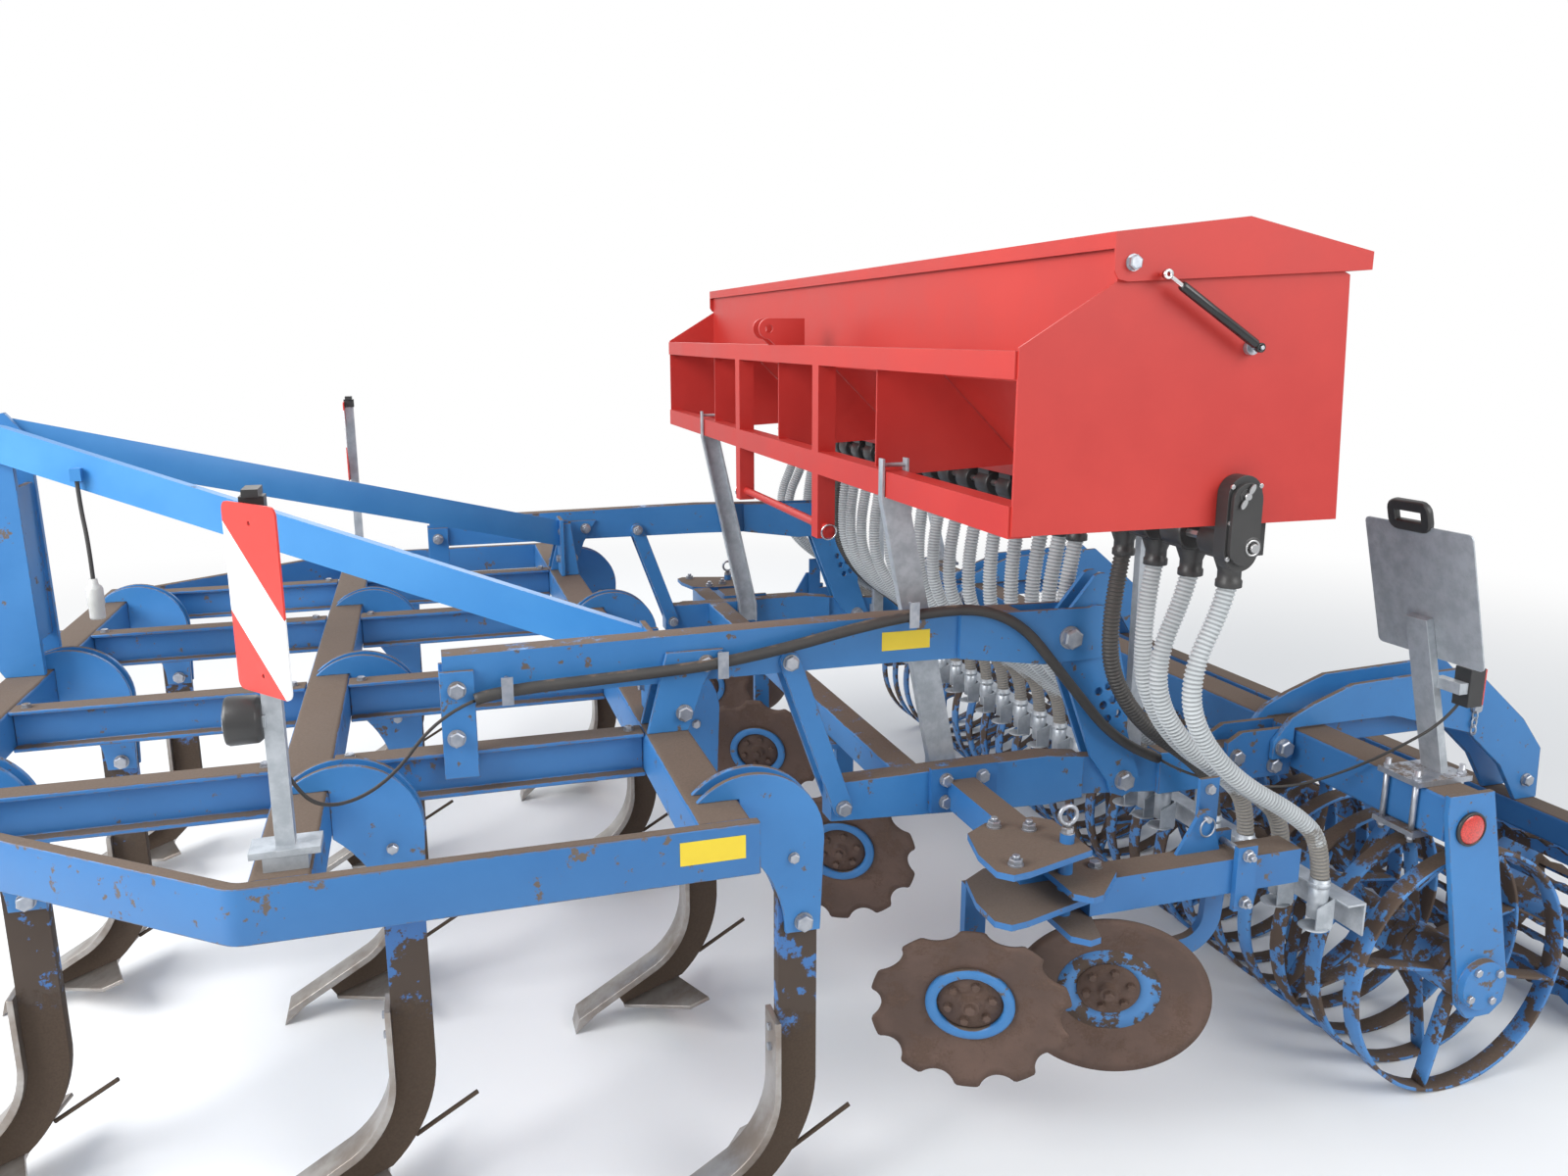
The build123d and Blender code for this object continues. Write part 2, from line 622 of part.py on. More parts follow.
# Seed box
PANEL = ((-25, 1450), (-25, 1791), (-216, 1907), (-216, 1962), (-700, 1940), (-731, 1927), (-756, 1450))
with BuildPart() as hopper_body:
    with BuildSketch(*at_y(*both([BOX_HALF - PANEL_T / 2]))):
        with BuildLine():
            Polyline(*PANEL, PANEL[0])
        make_face()
    extrude(amount=PANEL_T / 2, both=True)
    with BuildSketch(*at_y(0)):
        with BuildLine():
            Polyline(
                (-216, 1980), (-216, 1717), (-491, 1450), (-756, 1450), (-731, 1927),
                (-726, 1927), (-750.5, 1455), (-493, 1455), (-221, 1719), (-221, 1980), (-216, 1980),
            )
        make_face()
    extrude(amount=BOX_HALF - PANEL_T, both=True)
    with Locations(*[(HINGE_X, side * (BOX_HALF + 3), HINGE_Z) for side in (-1, 1)]):
        Cylinder(PIN_R, 22, rotation=(90, 0, 0))

with BuildPart() as hopper_lid:
    with BuildSketch(*at_y(0)):
        with BuildLine():
            Polyline(
                (-203, 1993), (-485, 2027), (-773, 1970), (-773, 1936), (-769, 1936), (-769, 1967), (-485, 2023),
                (-207, 1989.5), (-207, 1964), (-203, 1964), (-203, 1993),
            )
        make_face()
    extrude(amount=BOX_HALF + LID_GAP + LID_T, both=True)
    flange = BOX_HALF + LID_GAP + LID_T / 2
    with BuildSketch(*at_y(*both([flange]))):
        with BuildLine():
            Polyline((-203, 1991), (-485, 2025), (-771, 1969), (-771, 1936), (-232, 1907), (-212, 1911),
                     (-203, 1925), (-203, 1991))
        make_face()
        with Locations((HINGE_X, HINGE_Z)):
            Circle(PIN_R + PIN_RUN, mode=Mode.SUBTRACT)
    extrude(amount=LID_T / 2, both=True)
    with BuildSketch(*at_y(BOX_HALF + LID_GAP + LID_T)):
        with Locations((STRUT_HIGH.X, STRUT_HIGH.Z)):
            Circle(4)
    extrude(amount=-(1524 - BOX_HALF - LID_GAP - LID_T))

# Beams in front of the seed box, posts and top clevis
POST_YS = (-400, 400)
GUSSET_YS = (-790, 0, 790)
BEAM_X = -45
with BuildPart() as hopper_beams:
    with Locations((BEAM_X, 0, 1760)):
        Box(50, 2 * (BOX_HALF - PANEL_T), 50)
    with Locations((BEAM_X, 0, 1476)):
        Box(50, 2 * (BOX_HALF - PANEL_T), 60)
    with BuildSketch(*at_y(*GUSSET_YS)):
        with BuildLine():
            Polyline((-40, 1745), (-214.5, 1745), (-214.5, 1716), (-437, 1500), (-40, 1480), (-40, 1745))
        make_face()
    extrude(amount=3, both=True)
    with Locations(*[(BEAM_X, y, 1505) for y in POST_YS]):
        Box(50, 50, 470)
    with Locations((BEAM_X, 0, 1300)):
        Cylinder(12, 900, rotation=(90, 0, 0))
    with BuildSketch(*at_y(-32, 32)):
        with BuildLine():
            Polyline((0, 1802), (-20, 1784), (-110, 1784), (-110, 1862), (0, 1862))
            ThreePointArc((0, 1862), (30, 1832), (0, 1802))
        make_face()
        with Locations((0, 1832)):
            Circle(12.5, mode=Mode.SUBTRACT)
    extrude(amount=6, both=True)

METER_W, METER_TOP = 90, 1450
with BuildPart() as metering_units:
    with BuildSketch(Plane.XY.offset(1372)):
        with Locations(*[(METER_X, y) for y in both(SEED_ROW_YS)]):
            Rectangle(110, METER_W)
    extrude(amount=METER_TOP - 1372)
    with BuildSketch(Plane.XY.offset(METER_LOW)):
        with Locations(*[(METER_X, y) for y in both(SEED_ROW_YS)]):
            Rectangle(2 * HOSE_R + 6, 2 * HOSE_R + 6)
    extrude(amount=1372 - METER_LOW)
    with BuildSketch(*at_y(BOX_HALF - PANEL_T)):
        with Locations((-522, 1411)):
            RegularPolygon(9, 6)
    extrude(amount=2 * BOX_HALF - PANEL_T + 51)

GEAR_W, GEAR_Y = 78, 45
with BuildPart() as gearbox:
    with BuildSketch(*at_y(BOX_HALF + GEAR_Y / 2)):
        with Locations((-505, 1457)):
            SlotOverall(188, GEAR_W, rotation=90)
    extrude(amount=GEAR_Y / 2, both=True)
    with BuildSketch(*at_y(BOX_HALF + GEAR_Y)):
        with Locations((-522, 1411)):
            Circle(22)
    extrude(amount=-6)
    with BuildSketch(*at_y(BOX_HALF + GEAR_Y + 6)):
        with Locations((-522, 1411)):
            RegularPolygon(8, 6)
    extrude(amount=-4)

LEG_IN, LEG_OUT = 880, 905
with BuildPart() as hopper_legs:
    with BuildSketch(*at_y(*both([LEG_OUT - 3]))):
        with BuildLine():
            Polyline((-12, 1444), (-78, 1444), (-222, 782), (-222, 715), (-150, 715), (-150, 790), (-12, 1444))
        make_face()
    extrude(amount=3, both=True)
    with Locations(*[(BEAM_X, y, 1520) for y in both([(LEG_IN + LEG_OUT) / 2])]):
        Cylinder(5, 60, rotation=(0, 90, 0))
    with BuildSketch(*at_y(*both([(LEG_IN + LEG_OUT) / 2]))):
        with BuildLine():
            Polyline((-12, 1535), (-12, 1440), (-150, 790), (-150, 715), (-156, 715), (-156, 791), (-18, 1441),
                     (-18, 1535), (-12, 1535))
        make_face()
        with BuildLine():
            Polyline((-78, 1535), (-78, 1440), (-222, 782), (-222, 715), (-216, 715), (-216, 781), (-72, 1439),
                     (-72, 1535), (-78, 1535))
        make_face()
        with BuildLine():
            Polyline((-756, 1450), (-716, 1450), (-716, 700), (-756, 700), (-756, 1450))
        make_face()
    extrude(amount=(LEG_OUT - LEG_IN) / 2, both=True)
    with Locations(*[(-190, y, 750) for y in both([(LEG_OUT + ARM_Y - ARM_W / 2) / 2])]):
        Box(44, ARM_Y - ARM_W / 2 - LEG_OUT, 66)
    with Locations(*[(-736, y, 720) for y in both([(LEG_OUT + ARM_Y - TONGUE_HALF) / 2])]):
        Box(36, ARM_Y - TONGUE_HALF - LEG_OUT, 36)

# Boards with posts and lamps, front pair on the middle tube, rear pair on the roller tube
BOARD_X, BOARD_Y = 1252, 1438
BOARD_W, BOARD_H, BOARD_T = 141, 300, 4
BOARD_LOW = 1265
board_face = Vector(0.785, 0.62, 0).normalized()
board_middle = Vector(BOARD_X, BOARD_Y, 0) + board_face * 30 + Vector(-0.62, 0.785, 0) * 35
with BuildPart() as front_posts:
    for y in both([BOARD_Y]):
        with Locations((BOARD_X, y, TUBE_TOP + 12.5)):
            Box(70, 60, 25)
        with Locations((BOARD_X, y, TUBE_TOP + 31)):
            Box(110, 64, 12)
        with Locations((BOARD_X, y, (TUBE_TOP + 37 + 1545) / 2)):
            Box(30, 30, 1545 - TUBE_TOP - 37)
    for z in (BOARD_LOW + 60, BOARD_LOW + 230):
        with BuildSketch(Plane(origin=(BOARD_X, BOARD_Y, z), z_dir=board_face)):
            Circle(7)
        extrude(amount=30 - BOARD_T / 2)

with BuildPart() as front_boards:
    with BuildSketch(Plane.XY.offset(BOARD_LOW)):
        with Locations((board_middle.X, board_middle.Y)):
            Rectangle(BOARD_W, BOARD_T, rotation=128.3)
        with Locations((BOARD_X + 15 + BOARD_T / 2, -BOARD_Y + 8)):
            Rectangle(BOARD_T, BOARD_W)
    extrude(amount=BOARD_H)

with BuildPart() as front_lamps:
    with Locations((BOARD_X + 15 + 30, BOARD_Y, 1213)):
        Cylinder(40, 60, rotation=(0, 90, 0))
    mirror(about=Plane.XZ)

REAR_BOARD_Y = 1371
REAR_POST_Y = 1365
REAR_LEAN = 15
rear_foot = Vector(-1248, 0, ROLL_TUBE_TOP + 6)
rear_up = Vector(0, 0, 1).rotate(Axis.Y, REAR_LEAN)
rear_ahead = Vector(1, 0, 0).rotate(Axis.Y, REAR_LEAN)
with BuildPart() as rear_posts:
    with Locations((-1215, REAR_POST_Y, ROLL_TUBE_TOP + 6)):
        Box(110, 100, 12)
    with BuildSketch(Plane(origin=rear_foot, x_dir=rear_ahead, z_dir=rear_up)):
        with Locations((0, REAR_POST_Y)):
            Rectangle(20, 60)
    extrude(amount=400)
    with Locations((-1202, REAR_POST_Y + 55, 1036)):
        Box(24, 70, 26)
    mirror(about=Plane.XZ)

with BuildPart() as rear_boards:
    with BuildSketch(Plane(origin=rear_foot + rear_up * 300, x_dir=rear_ahead, z_dir=rear_up)):
        with Locations((-12, REAR_BOARD_Y)):
            Rectangle(4, 295)
    extrude(amount=318)
    mirror(about=Plane.XZ)

with BuildPart() as rear_lamps:
    with Locations((-1239, REAR_POST_Y + 72, 1036)):
        Box(50, 44, 90)
    mirror(about=Plane.XZ)

with BuildPart() as reflectors:
    with BuildSketch(*at_y(END_IN + END_T + 4, -END_IN - END_T - 4)):
        with Locations((-1222, 717)):
            Circle(38)
    extrude(amount=4, both=True)

SLEEVE_R = 13
SLEEVE_Y = ARM_Y + ARM_W / 2 + CHEEK_T + SLEEVE_R
with BuildPart() as cable_sleeve:
    with BuildLine():
        FilletPolyline(
            (925, SLEEVE_Y, 1078), (880, SLEEVE_Y, 1092), (358, SLEEVE_Y, 1110), (-50, SLEEVE_Y, 1199),
            (-300, SLEEVE_Y, 1190), (-470, SLEEVE_Y, 980), (-619, SLEEVE_Y, 810), (-740, SLEEVE_Y, 762),
            radius=70,
        )
    with BuildSketch(Plane(origin=(925, SLEEVE_Y, 1078), x_dir=(0, 1, 0), z_dir=(-45, 0, 14))):
        RegularPolygon(SLEEVE_R, 8)
    sweep()

# Gas strut on the left panel, opened at the rod's eye
STUD_R, STUD_RUN = 4, 0.4
EYE_R = 9
strut_run = (STRUT_HIGH - STRUT_LOW).normalized()
strut_length = (STRUT_HIGH - STRUT_LOW).length
strut_across = Vector(0, 1, 0)
with BuildPart() as strut_cylinder:
    with BuildSketch(Plane(origin=STRUT_LOW + strut_run * 8, x_dir=strut_across, z_dir=strut_run)):
        Circle(9)
    extrude(amount=205)
    with BuildSketch(*at_y(STRUT_Y)):
        with Locations((STRUT_LOW.X, STRUT_LOW.Z)):
            Circle(EYE_R)
    extrude(amount=5, both=True)
    with BuildSketch(*at_y(STRUT_Y)):
        with Locations((STRUT_LOW.X, STRUT_LOW.Z)):
            Circle(STUD_R + STUD_RUN)
    extrude(amount=12, both=True, mode=Mode.SUBTRACT)
    with BuildSketch(Plane(origin=STRUT_LOW + strut_run * 30, x_dir=strut_across, z_dir=strut_run)):
        Circle(4.5)
    extrude(amount=190, mode=Mode.SUBTRACT)

with BuildPart() as strut_rod:
    with BuildSketch(Plane(origin=STRUT_LOW + strut_run * 40, x_dir=strut_across, z_dir=strut_run)):
        Circle(4)
    extrude(amount=strut_length - 40 - 8)
    with BuildSketch(*at_y(STRUT_Y)):
        with Locations((STRUT_HIGH.X, STRUT_HIGH.Z)):
            Circle(EYE_R)
    extrude(amount=5, both=True)
    with BuildSketch(*at_y(STRUT_Y)):
        with Locations((STRUT_HIGH.X, STRUT_HIGH.Z)):
            Circle(STUD_R + STUD_RUN)
    extrude(amount=12, both=True, mode=Mode.SUBTRACT)

with BuildPart() as strut_stud:
    with BuildSketch(*at_y(BOX_HALF)):
        with Locations((STRUT_LOW.X, STRUT_LOW.Z)):
            Circle(STUD_R)
    extrude(amount=-(STRUT_Y + 9 - BOX_HALF))
    with BuildSketch(*at_y(BOX_HALF)):
        with Locations((STRUT_LOW.X, STRUT_LOW.Z)):
            Circle(14)
    extrude(amount=-12)

# Hanging supply cable with its plug, from the left brace
CORD_R = 5
CORD_TOP = (1795, 212, 1470)
with BuildPart() as plug_cable:
    with BuildLine():
        FilletPolyline(CORD_TOP, (1795, 212, 1410), (1783, 230, 1320), (1783, 230, 1232), radius=200)
    with BuildSketch(Plane(origin=CORD_TOP, x_dir=(0, 1, 0), z_dir=(0, 0, -1))):
        Circle(CORD_R)
    sweep()

with BuildPart() as cable_plug:
    with Locations((1783, 230, 1182)):
        Cylinder(19, 100)

export_parts = [
    ("front_tube", front_tube), ("middle_tube", middle_tube), ("rear_tube", rear_tube),
    ("long_beams", long_beams), ("side_rails", side_rails), ("tine_carriers", tine_carriers),
    ("tine_stems", tine_stems), ("shares", shares), ("mast", mast), ("mast_braces", mast_braces),
    ("brace_brackets", brace_brackets), ("link_brackets", link_brackets), ("link_pins", link_pins),
    ("upper_arms", upper_arms), ("arm_brackets", arm_brackets), ("strap_links", strap_links),
    ("hole_plates", hole_plates), ("lower_arms", lower_arms), ("disc_beam", disc_beam),
    ("disc_holders", disc_holders), ("edge_arms", edge_arms), ("roller_beam", roller_beam),
    ("roller_ends", roller_ends), ("front_roller", front_roller), ("arch_plates", arch_plates),
    ("cage_frame", cage_frame), ("rear_roller", rear_roller), ("seed_rail", seed_rail),
    ("seed_sockets", seed_sockets), ("seed_hoses", seed_hoses), ("hopper_body", hopper_body),
    ("hopper_lid", hopper_lid), ("hopper_beams", hopper_beams), ("metering_units", metering_units),
    ("gearbox", gearbox), ("hopper_legs", hopper_legs), ("front_posts", front_posts),
    ("front_boards", front_boards), ("front_lamps", front_lamps), ("rear_posts", rear_posts),
    ("rear_boards", rear_boards), ("rear_lamps", rear_lamps), ("reflectors", reflectors),
    ("cable_sleeve", cable_sleeve), ("strut_cylinder", strut_cylinder), ("strut_rod", strut_rod),
    ("strut_stud", strut_stud), ("plug_cable", plug_cable), ("cable_plug", cable_plug),
]
for label, built in export_parts + list(disc_parts.items()):
    built.part.label = label
    export_step(built.part, "parts/" + label + ".step")
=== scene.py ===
"""Looks of a mounted field cultivator with disc levellers, double roller and seed box.

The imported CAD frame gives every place; this script adds the finer surfaces, fittings and finishes.
"""

import logging
from dataclasses import dataclass, field
from enum import Enum
from math import cos, pi, radians, sin
from typing import Any, Iterable, Sequence

import bmesh
import bpy
import numpy as np
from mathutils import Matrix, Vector
from mathutils.geometry import tessellate_polygon


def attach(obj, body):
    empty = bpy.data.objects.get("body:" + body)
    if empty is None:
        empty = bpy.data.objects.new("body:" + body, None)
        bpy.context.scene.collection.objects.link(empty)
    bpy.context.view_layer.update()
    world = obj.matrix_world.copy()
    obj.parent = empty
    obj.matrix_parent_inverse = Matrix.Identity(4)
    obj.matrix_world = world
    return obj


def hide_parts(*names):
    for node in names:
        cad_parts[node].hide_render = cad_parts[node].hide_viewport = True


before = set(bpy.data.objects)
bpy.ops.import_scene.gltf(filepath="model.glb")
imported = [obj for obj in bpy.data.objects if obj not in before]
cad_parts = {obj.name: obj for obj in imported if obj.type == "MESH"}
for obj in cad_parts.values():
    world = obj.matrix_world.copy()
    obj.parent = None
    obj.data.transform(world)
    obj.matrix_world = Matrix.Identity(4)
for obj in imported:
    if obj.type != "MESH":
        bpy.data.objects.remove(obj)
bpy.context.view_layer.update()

log = logging.getLogger("cultivator")

Array = np.ndarray
Point = Sequence[float]
Colour = tuple[float, float, float]

ACROSS = np.array([0.0, 1.0, 0.0])
UP = np.array([0.0, 0.0, 1.0])
AHEAD = np.array([1.0, 0.0, 0.0])
ROOT = "frame"
SIDES = (-1.0, 1.0)
SEED_LINES = (0.0625, 0.1875, 0.3125, 0.4375, 0.5625, 0.6875, 0.78, 0.857, 1.0625, 1.1875, 1.3125, 1.4375)
ARM_Y = 0.95
TINY = 1e-6


class Slot(Enum):
    """Material slots of the record."""

    BLUE = "blue_paint"
    WORN = "worn_paint"
    STEEL = "worn_steel"
    ZINC = "galvanised"
    RED = "red_paint"
    HOSE = "hose_plastic"
    BLACK = "black_plastic"
    BOARD = "board_film"
    REFLECTOR = "reflector_red"
    RUBBER = "rubber"
    PLUG = "plug_grey"
    STRUT = "strut_black"
    CHROME = "strut_chrome"


def unit(vector: Point) -> Array:
    """The vector, or each row of vectors, at length one."""
    vector = np.asarray(vector, float)
    return vector / np.linalg.norm(vector, axis=-1, keepdims=True)


def side_axes(axis: Point) -> tuple[Array, Array]:
    """Two unit directions square to an axis and to each other."""
    axis = unit(axis)
    first = unit(np.cross(UP if abs(axis[2]) < 0.9 else AHEAD, axis))
    return first, np.cross(axis, first)


def around(steps: int, first: Point, second: Point, phase: float = 0.0) -> Array:
    """An ellipse: cos a times one vector plus sin a times another, a running once round from a phase."""
    angle = phase + 2 * pi * np.arange(steps)[:, None] / steps
    return np.cos(angle) * np.asarray(first, float) + np.sin(angle) * np.asarray(second, float)


def circle(radius: float, sides: int) -> Array:
    """A round section."""
    return around(sides, (radius, 0), (0, radius))


def rectangle(left: float, right: float, low: float, high: float) -> list[Point]:
    """Corners of an upright rectangle."""
    return [(left, low), (right, low), (right, high), (left, high)]


def bar(width: float, height: float, corner: float) -> Array:
    """A flat bar's section with its corners broken."""
    w, h, c = width / 2, height / 2, corner
    right = np.array([(w - c, -h), (w, c - h), (w, h - c), (w - c, h)])
    return np.concatenate([right, -right])


def rounded_sheet(width: float, height: float, corner: float) -> Array:
    """Outline of a sheet with round corners."""
    turn = np.linspace(0, pi / 2, 5)
    arc = corner * np.stack([np.cos(turn), np.sin(turn)], -1)
    w, h = width / 2 - corner, height / 2 - corner
    return np.concatenate([arc + (w, h), arc[::-1] * (-1, 1) + (-w, h), (-w, -h) - arc, arc[::-1] * (1, -1) + (w, -h)])


def soft_line(points: Sequence[Point], steps: int) -> Array:
    """A line that bends towards its points: arcs of second degree between the middles of the runs.

    Args:
        points: Guide points; the line starts and ends on the first and last.
        steps: Samples of each arc.

    Returns:
        Points of the line.
    """
    guide = np.asarray(points, float)
    middle = (guide[1:] + guide[:-1])[1:-1] / 2
    start, end = np.concatenate([guide[:1], middle])[:, None], np.concatenate([middle, guide[-1:]])[:, None]
    share = np.linspace(0, 1, steps, endpoint=False)[None, :, None]
    arcs = (1 - share) ** 2 * start + 2 * share * (1 - share) * guide[1:-1, None] + share ** 2 * end
    return np.concatenate([arcs.reshape(-1, 3), guide[-1:]])


def even_line(points: Array, spacing: float) -> tuple[Array, Array]:
    """The same line with points at even distances, and the distance of each along it."""
    along = np.concatenate([[0], np.cumsum(np.linalg.norm(np.diff(points, axis=0), axis=1))])
    place = np.linspace(0, along[-1], max(2, int(round(along[-1] / spacing)) + 1))
    return np.stack([np.interp(place, along, points[:, k]) for k in range(3)], -1), place


def grid_faces(rows: int, columns: int, wrap_rows: bool = False, wrap_columns: bool = False) -> Array:
    """Four-sided faces between the neighbours of a grid of points.

    Args:
        rows: Count of rows.
        columns: Count of columns.
        wrap_rows: Joins the last row to the first.
        wrap_columns: Joins the last column to the first.

    Returns:
        Point numbers, one face a line.
    """
    row = np.arange(rows if wrap_rows else rows - 1)[:, None]
    column = np.arange(columns if wrap_columns else columns - 1)[None, :]
    here, below = row * columns, (row + 1) % rows * columns
    after = (column + 1) % columns
    corners = [here + column, here + after, below + after, below + column]
    return np.stack(np.broadcast_arrays(*corners), -1).reshape(-1, 4)


class Shape:
    """Surfaces of one piece, gathered as points and faces until its mesh is made."""

    def __init__(self) -> None:
        """Starts with nothing."""
        self.points: list[Array] = []
        self.faces: list[Array] = []
        self.smooth: list[Array] = []
        self.count = 0

    def span(self, faces: Array, smooth: bool) -> None:
        """Takes in faces between points that are there."""
        self.faces.append(faces)
        self.smooth.append(np.full(len(faces), smooth))

    def add(self, points: Array, faces: Array, smooth: bool = True) -> int:
        """Takes in one surface, its faces numbered from its own first point; gives that point's number."""
        points, base = np.asarray(points, float).reshape(-1, 3), self.count
        self.points.append(points)
        self.span(np.asarray(faces, int) + base, smooth)
        self.count += len(points)
        return base

    def lathe(self, profile: Sequence[Point], centre: Point, axis: Point, sides: int = 28, closed: bool = False,
              smooth: bool = True, phase: float = 0.0) -> None:
        """Turns a profile about an axis: radius r and height h give r (cos a u + sin a v) + h axis.

        Args:
            profile: Pairs of radius and height. A radius of nought at an end makes a pole.
            centre: Point on the axis where height is nought.
            axis: Direction of the height.
            sides: Steps of the angle a.
            closed: Joins the profile's end to its start, for a ring.
            smooth: Shades the surface smooth.
            phase: First angle.
        """
        profile, centre, axis = np.asarray(profile, float), np.asarray(centre, float), unit(axis)
        body = profile if closed else profile[profile[:, 0] > TINY]
        ring = around(sides, *side_axes(axis), phase)
        rows = centre + body[:, None, :1] * ring + body[:, None, 1:] * axis
        base = self.add(rows, grid_faces(len(body), sides, closed, True), smooth)
        step = np.arange(sides)
        for row, (radius, height) in ((0, profile[0]), (len(body) - 1, profile[-1])):
            if radius > TINY or closed:
                continue
            self.points.append((centre + height * axis)[None])
            rim = base + row * sides
            self.span(np.stack([rim + step, rim + (step + 1) % sides, np.full(sides, self.count)], -1),
                      smooth and abs(height - body[row][1]) > TINY)
            self.count += 1

    def rod(self, radius: float, low: float, high: float, centre: Point, axis: Point, sides: int,
            smooth: bool = True) -> None:
        """A round bar between two heights on an axis."""
        self.lathe([(0, low), (radius, low), (radius, high), (0, high)], centre, axis, sides, smooth=smooth)

    def tube(self, inner: float, outer: float, low: float, high: float, centre: Point, axis: Point, sides: int,
             smooth: bool = True) -> None:
        """A pipe or a ring between two radii and two heights on an axis."""
        self.lathe([(inner, low), (outer, low), (outer, high), (inner, high)], centre, axis, sides, True, smooth)

    def carry(self, path: Array, section: Array, up: Point = ACROSS, loop: bool = False,
              scale: Array | float = 1.0) -> None:
        """Carries a section along a path: point = path + s0 side + s1 normal, the frame held square to up.

        Args:
            path: Points of the centre line.
            section: Closed outline as pairs.
            up: Direction that is never along the path.
            loop: Joins the path's end to its start.
            scale: Size of the section at each point of the path.
        """
        path = np.asarray(path, float)
        run = unit(np.roll(path, -1, 0) - np.roll(path, 1, 0) if loop else np.gradient(path, axis=0))
        side = unit(np.cross(up, run))
        normal = np.cross(run, side)
        size = np.broadcast_to(scale, len(path))[:, None, None]
        rows = path[:, None] + size * (section[:, :1] * side[:, None] + section[:, 1:] * normal[:, None])
        step = np.arange(len(section))
        base = self.add(rows, grid_faces(len(path), len(step), loop, True))
        if not loop:
            self.span(base + np.stack([step[::-1], (len(path) - 1) * len(step) + step]), False)

    def hoop(self, centre: Point, first: Point, second: Point, section: Array, steps: int, up: Point = ACROSS) -> None:
        """A closed ring of one section round an ellipse."""
        self.carry(centre + around(steps, first, second), section, up, True)

    def plate(self, outline: Sequence[Point], thick: float, origin: Point, across: Point, upward: Point,
              holes: Iterable[tuple[float, float, float]] = (), sides: int = 18) -> None:
        """A flat plate with round holes, its middle plane through the origin.

        Args:
            outline: Corners as pairs along the two directions.
            thick: Thickness.
            origin: Where both lengths are nought.
            across: Direction of the first length.
            upward: Direction of the second length.
            holes: Centre and radius of each hole.
            sides: Flats of each hole.
        """
        across, upward = unit(across), unit(upward)
        half = np.cross(across, upward) * thick / 2
        loops = [np.asarray(outline, float)] + [np.array([x, y]) + circle(r, sides) for x, y, r in holes]
        flat = np.concatenate(loops)
        total = len(flat)
        triangles = np.array(tessellate_polygon([[Vector((x, y, 0.0)) for x, y in one] for one in loops]))
        level = np.asarray(origin, float) + flat[:, :1] * across + flat[:, 1:] * upward
        base = self.add(np.concatenate([level + half, level - half]),
                        np.concatenate([triangles, triangles[:, ::-1] + total]), False)
        start = 0
        for one in loops:
            step = np.arange(len(one))
            here, after = start + step, start + (step + 1) % len(one)
            self.span(base + np.stack([here, here + total, after + total, after], -1), start > 0)
            start += len(one)

    def box(self, low: Point, high: Point) -> None:
        """A block between two corners."""
        self.plate(rectangle(low[0], high[0], low[1], high[1]), high[2] - low[2], (0, 0, (low[2] + high[2]) / 2),
                   AHEAD, ACROSS)

    def bolt(self, centre: Point, axis: Point, size: float, washer: bool = True, stem: float = 0.0) -> None:
        """A hexagon head on a washer, with an optional threaded end standing out of it.

        Args:
            centre: Point on the surface under the washer.
            axis: Way the head stands out.
            size: Nominal bolt width.
            washer: Adds the washer.
            stem: Length of thread beyond the head.
        """
        rise = 0.18 * size if washer else 0.0
        if washer:
            self.rod(0.95 * size, 0, rise, centre, axis, 22, False)
        top, head = rise + 0.64 * size, 0.87 * size
        self.lathe([(0, rise), (head, rise), (head, top - 0.1 * size), (0.8 * head, top), (0, top)], centre, axis,
                   6, smooth=False, phase=0.4)
        if stem > 0:
            end = top + stem
            self.lathe([(0, top), (0.46 * size, top), (0.46 * size, end - 0.08 * size), (0.4 * size, end), (0, end)],
                       centre, axis, 14)

    def mesh(self, name: str) -> bpy.types.Mesh:
        """Makes the mesh, faces outwards."""
        sizes = np.concatenate([np.full(len(one), one.shape[1]) for one in self.faces])
        loops = np.concatenate([one.ravel() for one in self.faces])
        mesh = bpy.data.meshes.new(name)
        mesh.vertices.add(self.count)
        mesh.vertices.foreach_set("co", np.concatenate(self.points).astype(np.float32).ravel())
        mesh.loops.add(len(loops))
        mesh.loops.foreach_set("vertex_index", loops.astype(np.int32))
        mesh.polygons.add(len(sizes))
        mesh.polygons.foreach_set("loop_start", np.concatenate([[0], np.cumsum(sizes)[:-1]]).astype(np.int32))
        mesh.polygons.foreach_set("use_smooth", np.concatenate(self.smooth))
        mesh.update(calc_edges=True)
        mesh.validate()
        build = bmesh.new()
        build.from_mesh(mesh)
        bmesh.ops.recalc_face_normals(build, faces=build.faces)
        build.to_mesh(mesh)
        build.free()
        return mesh


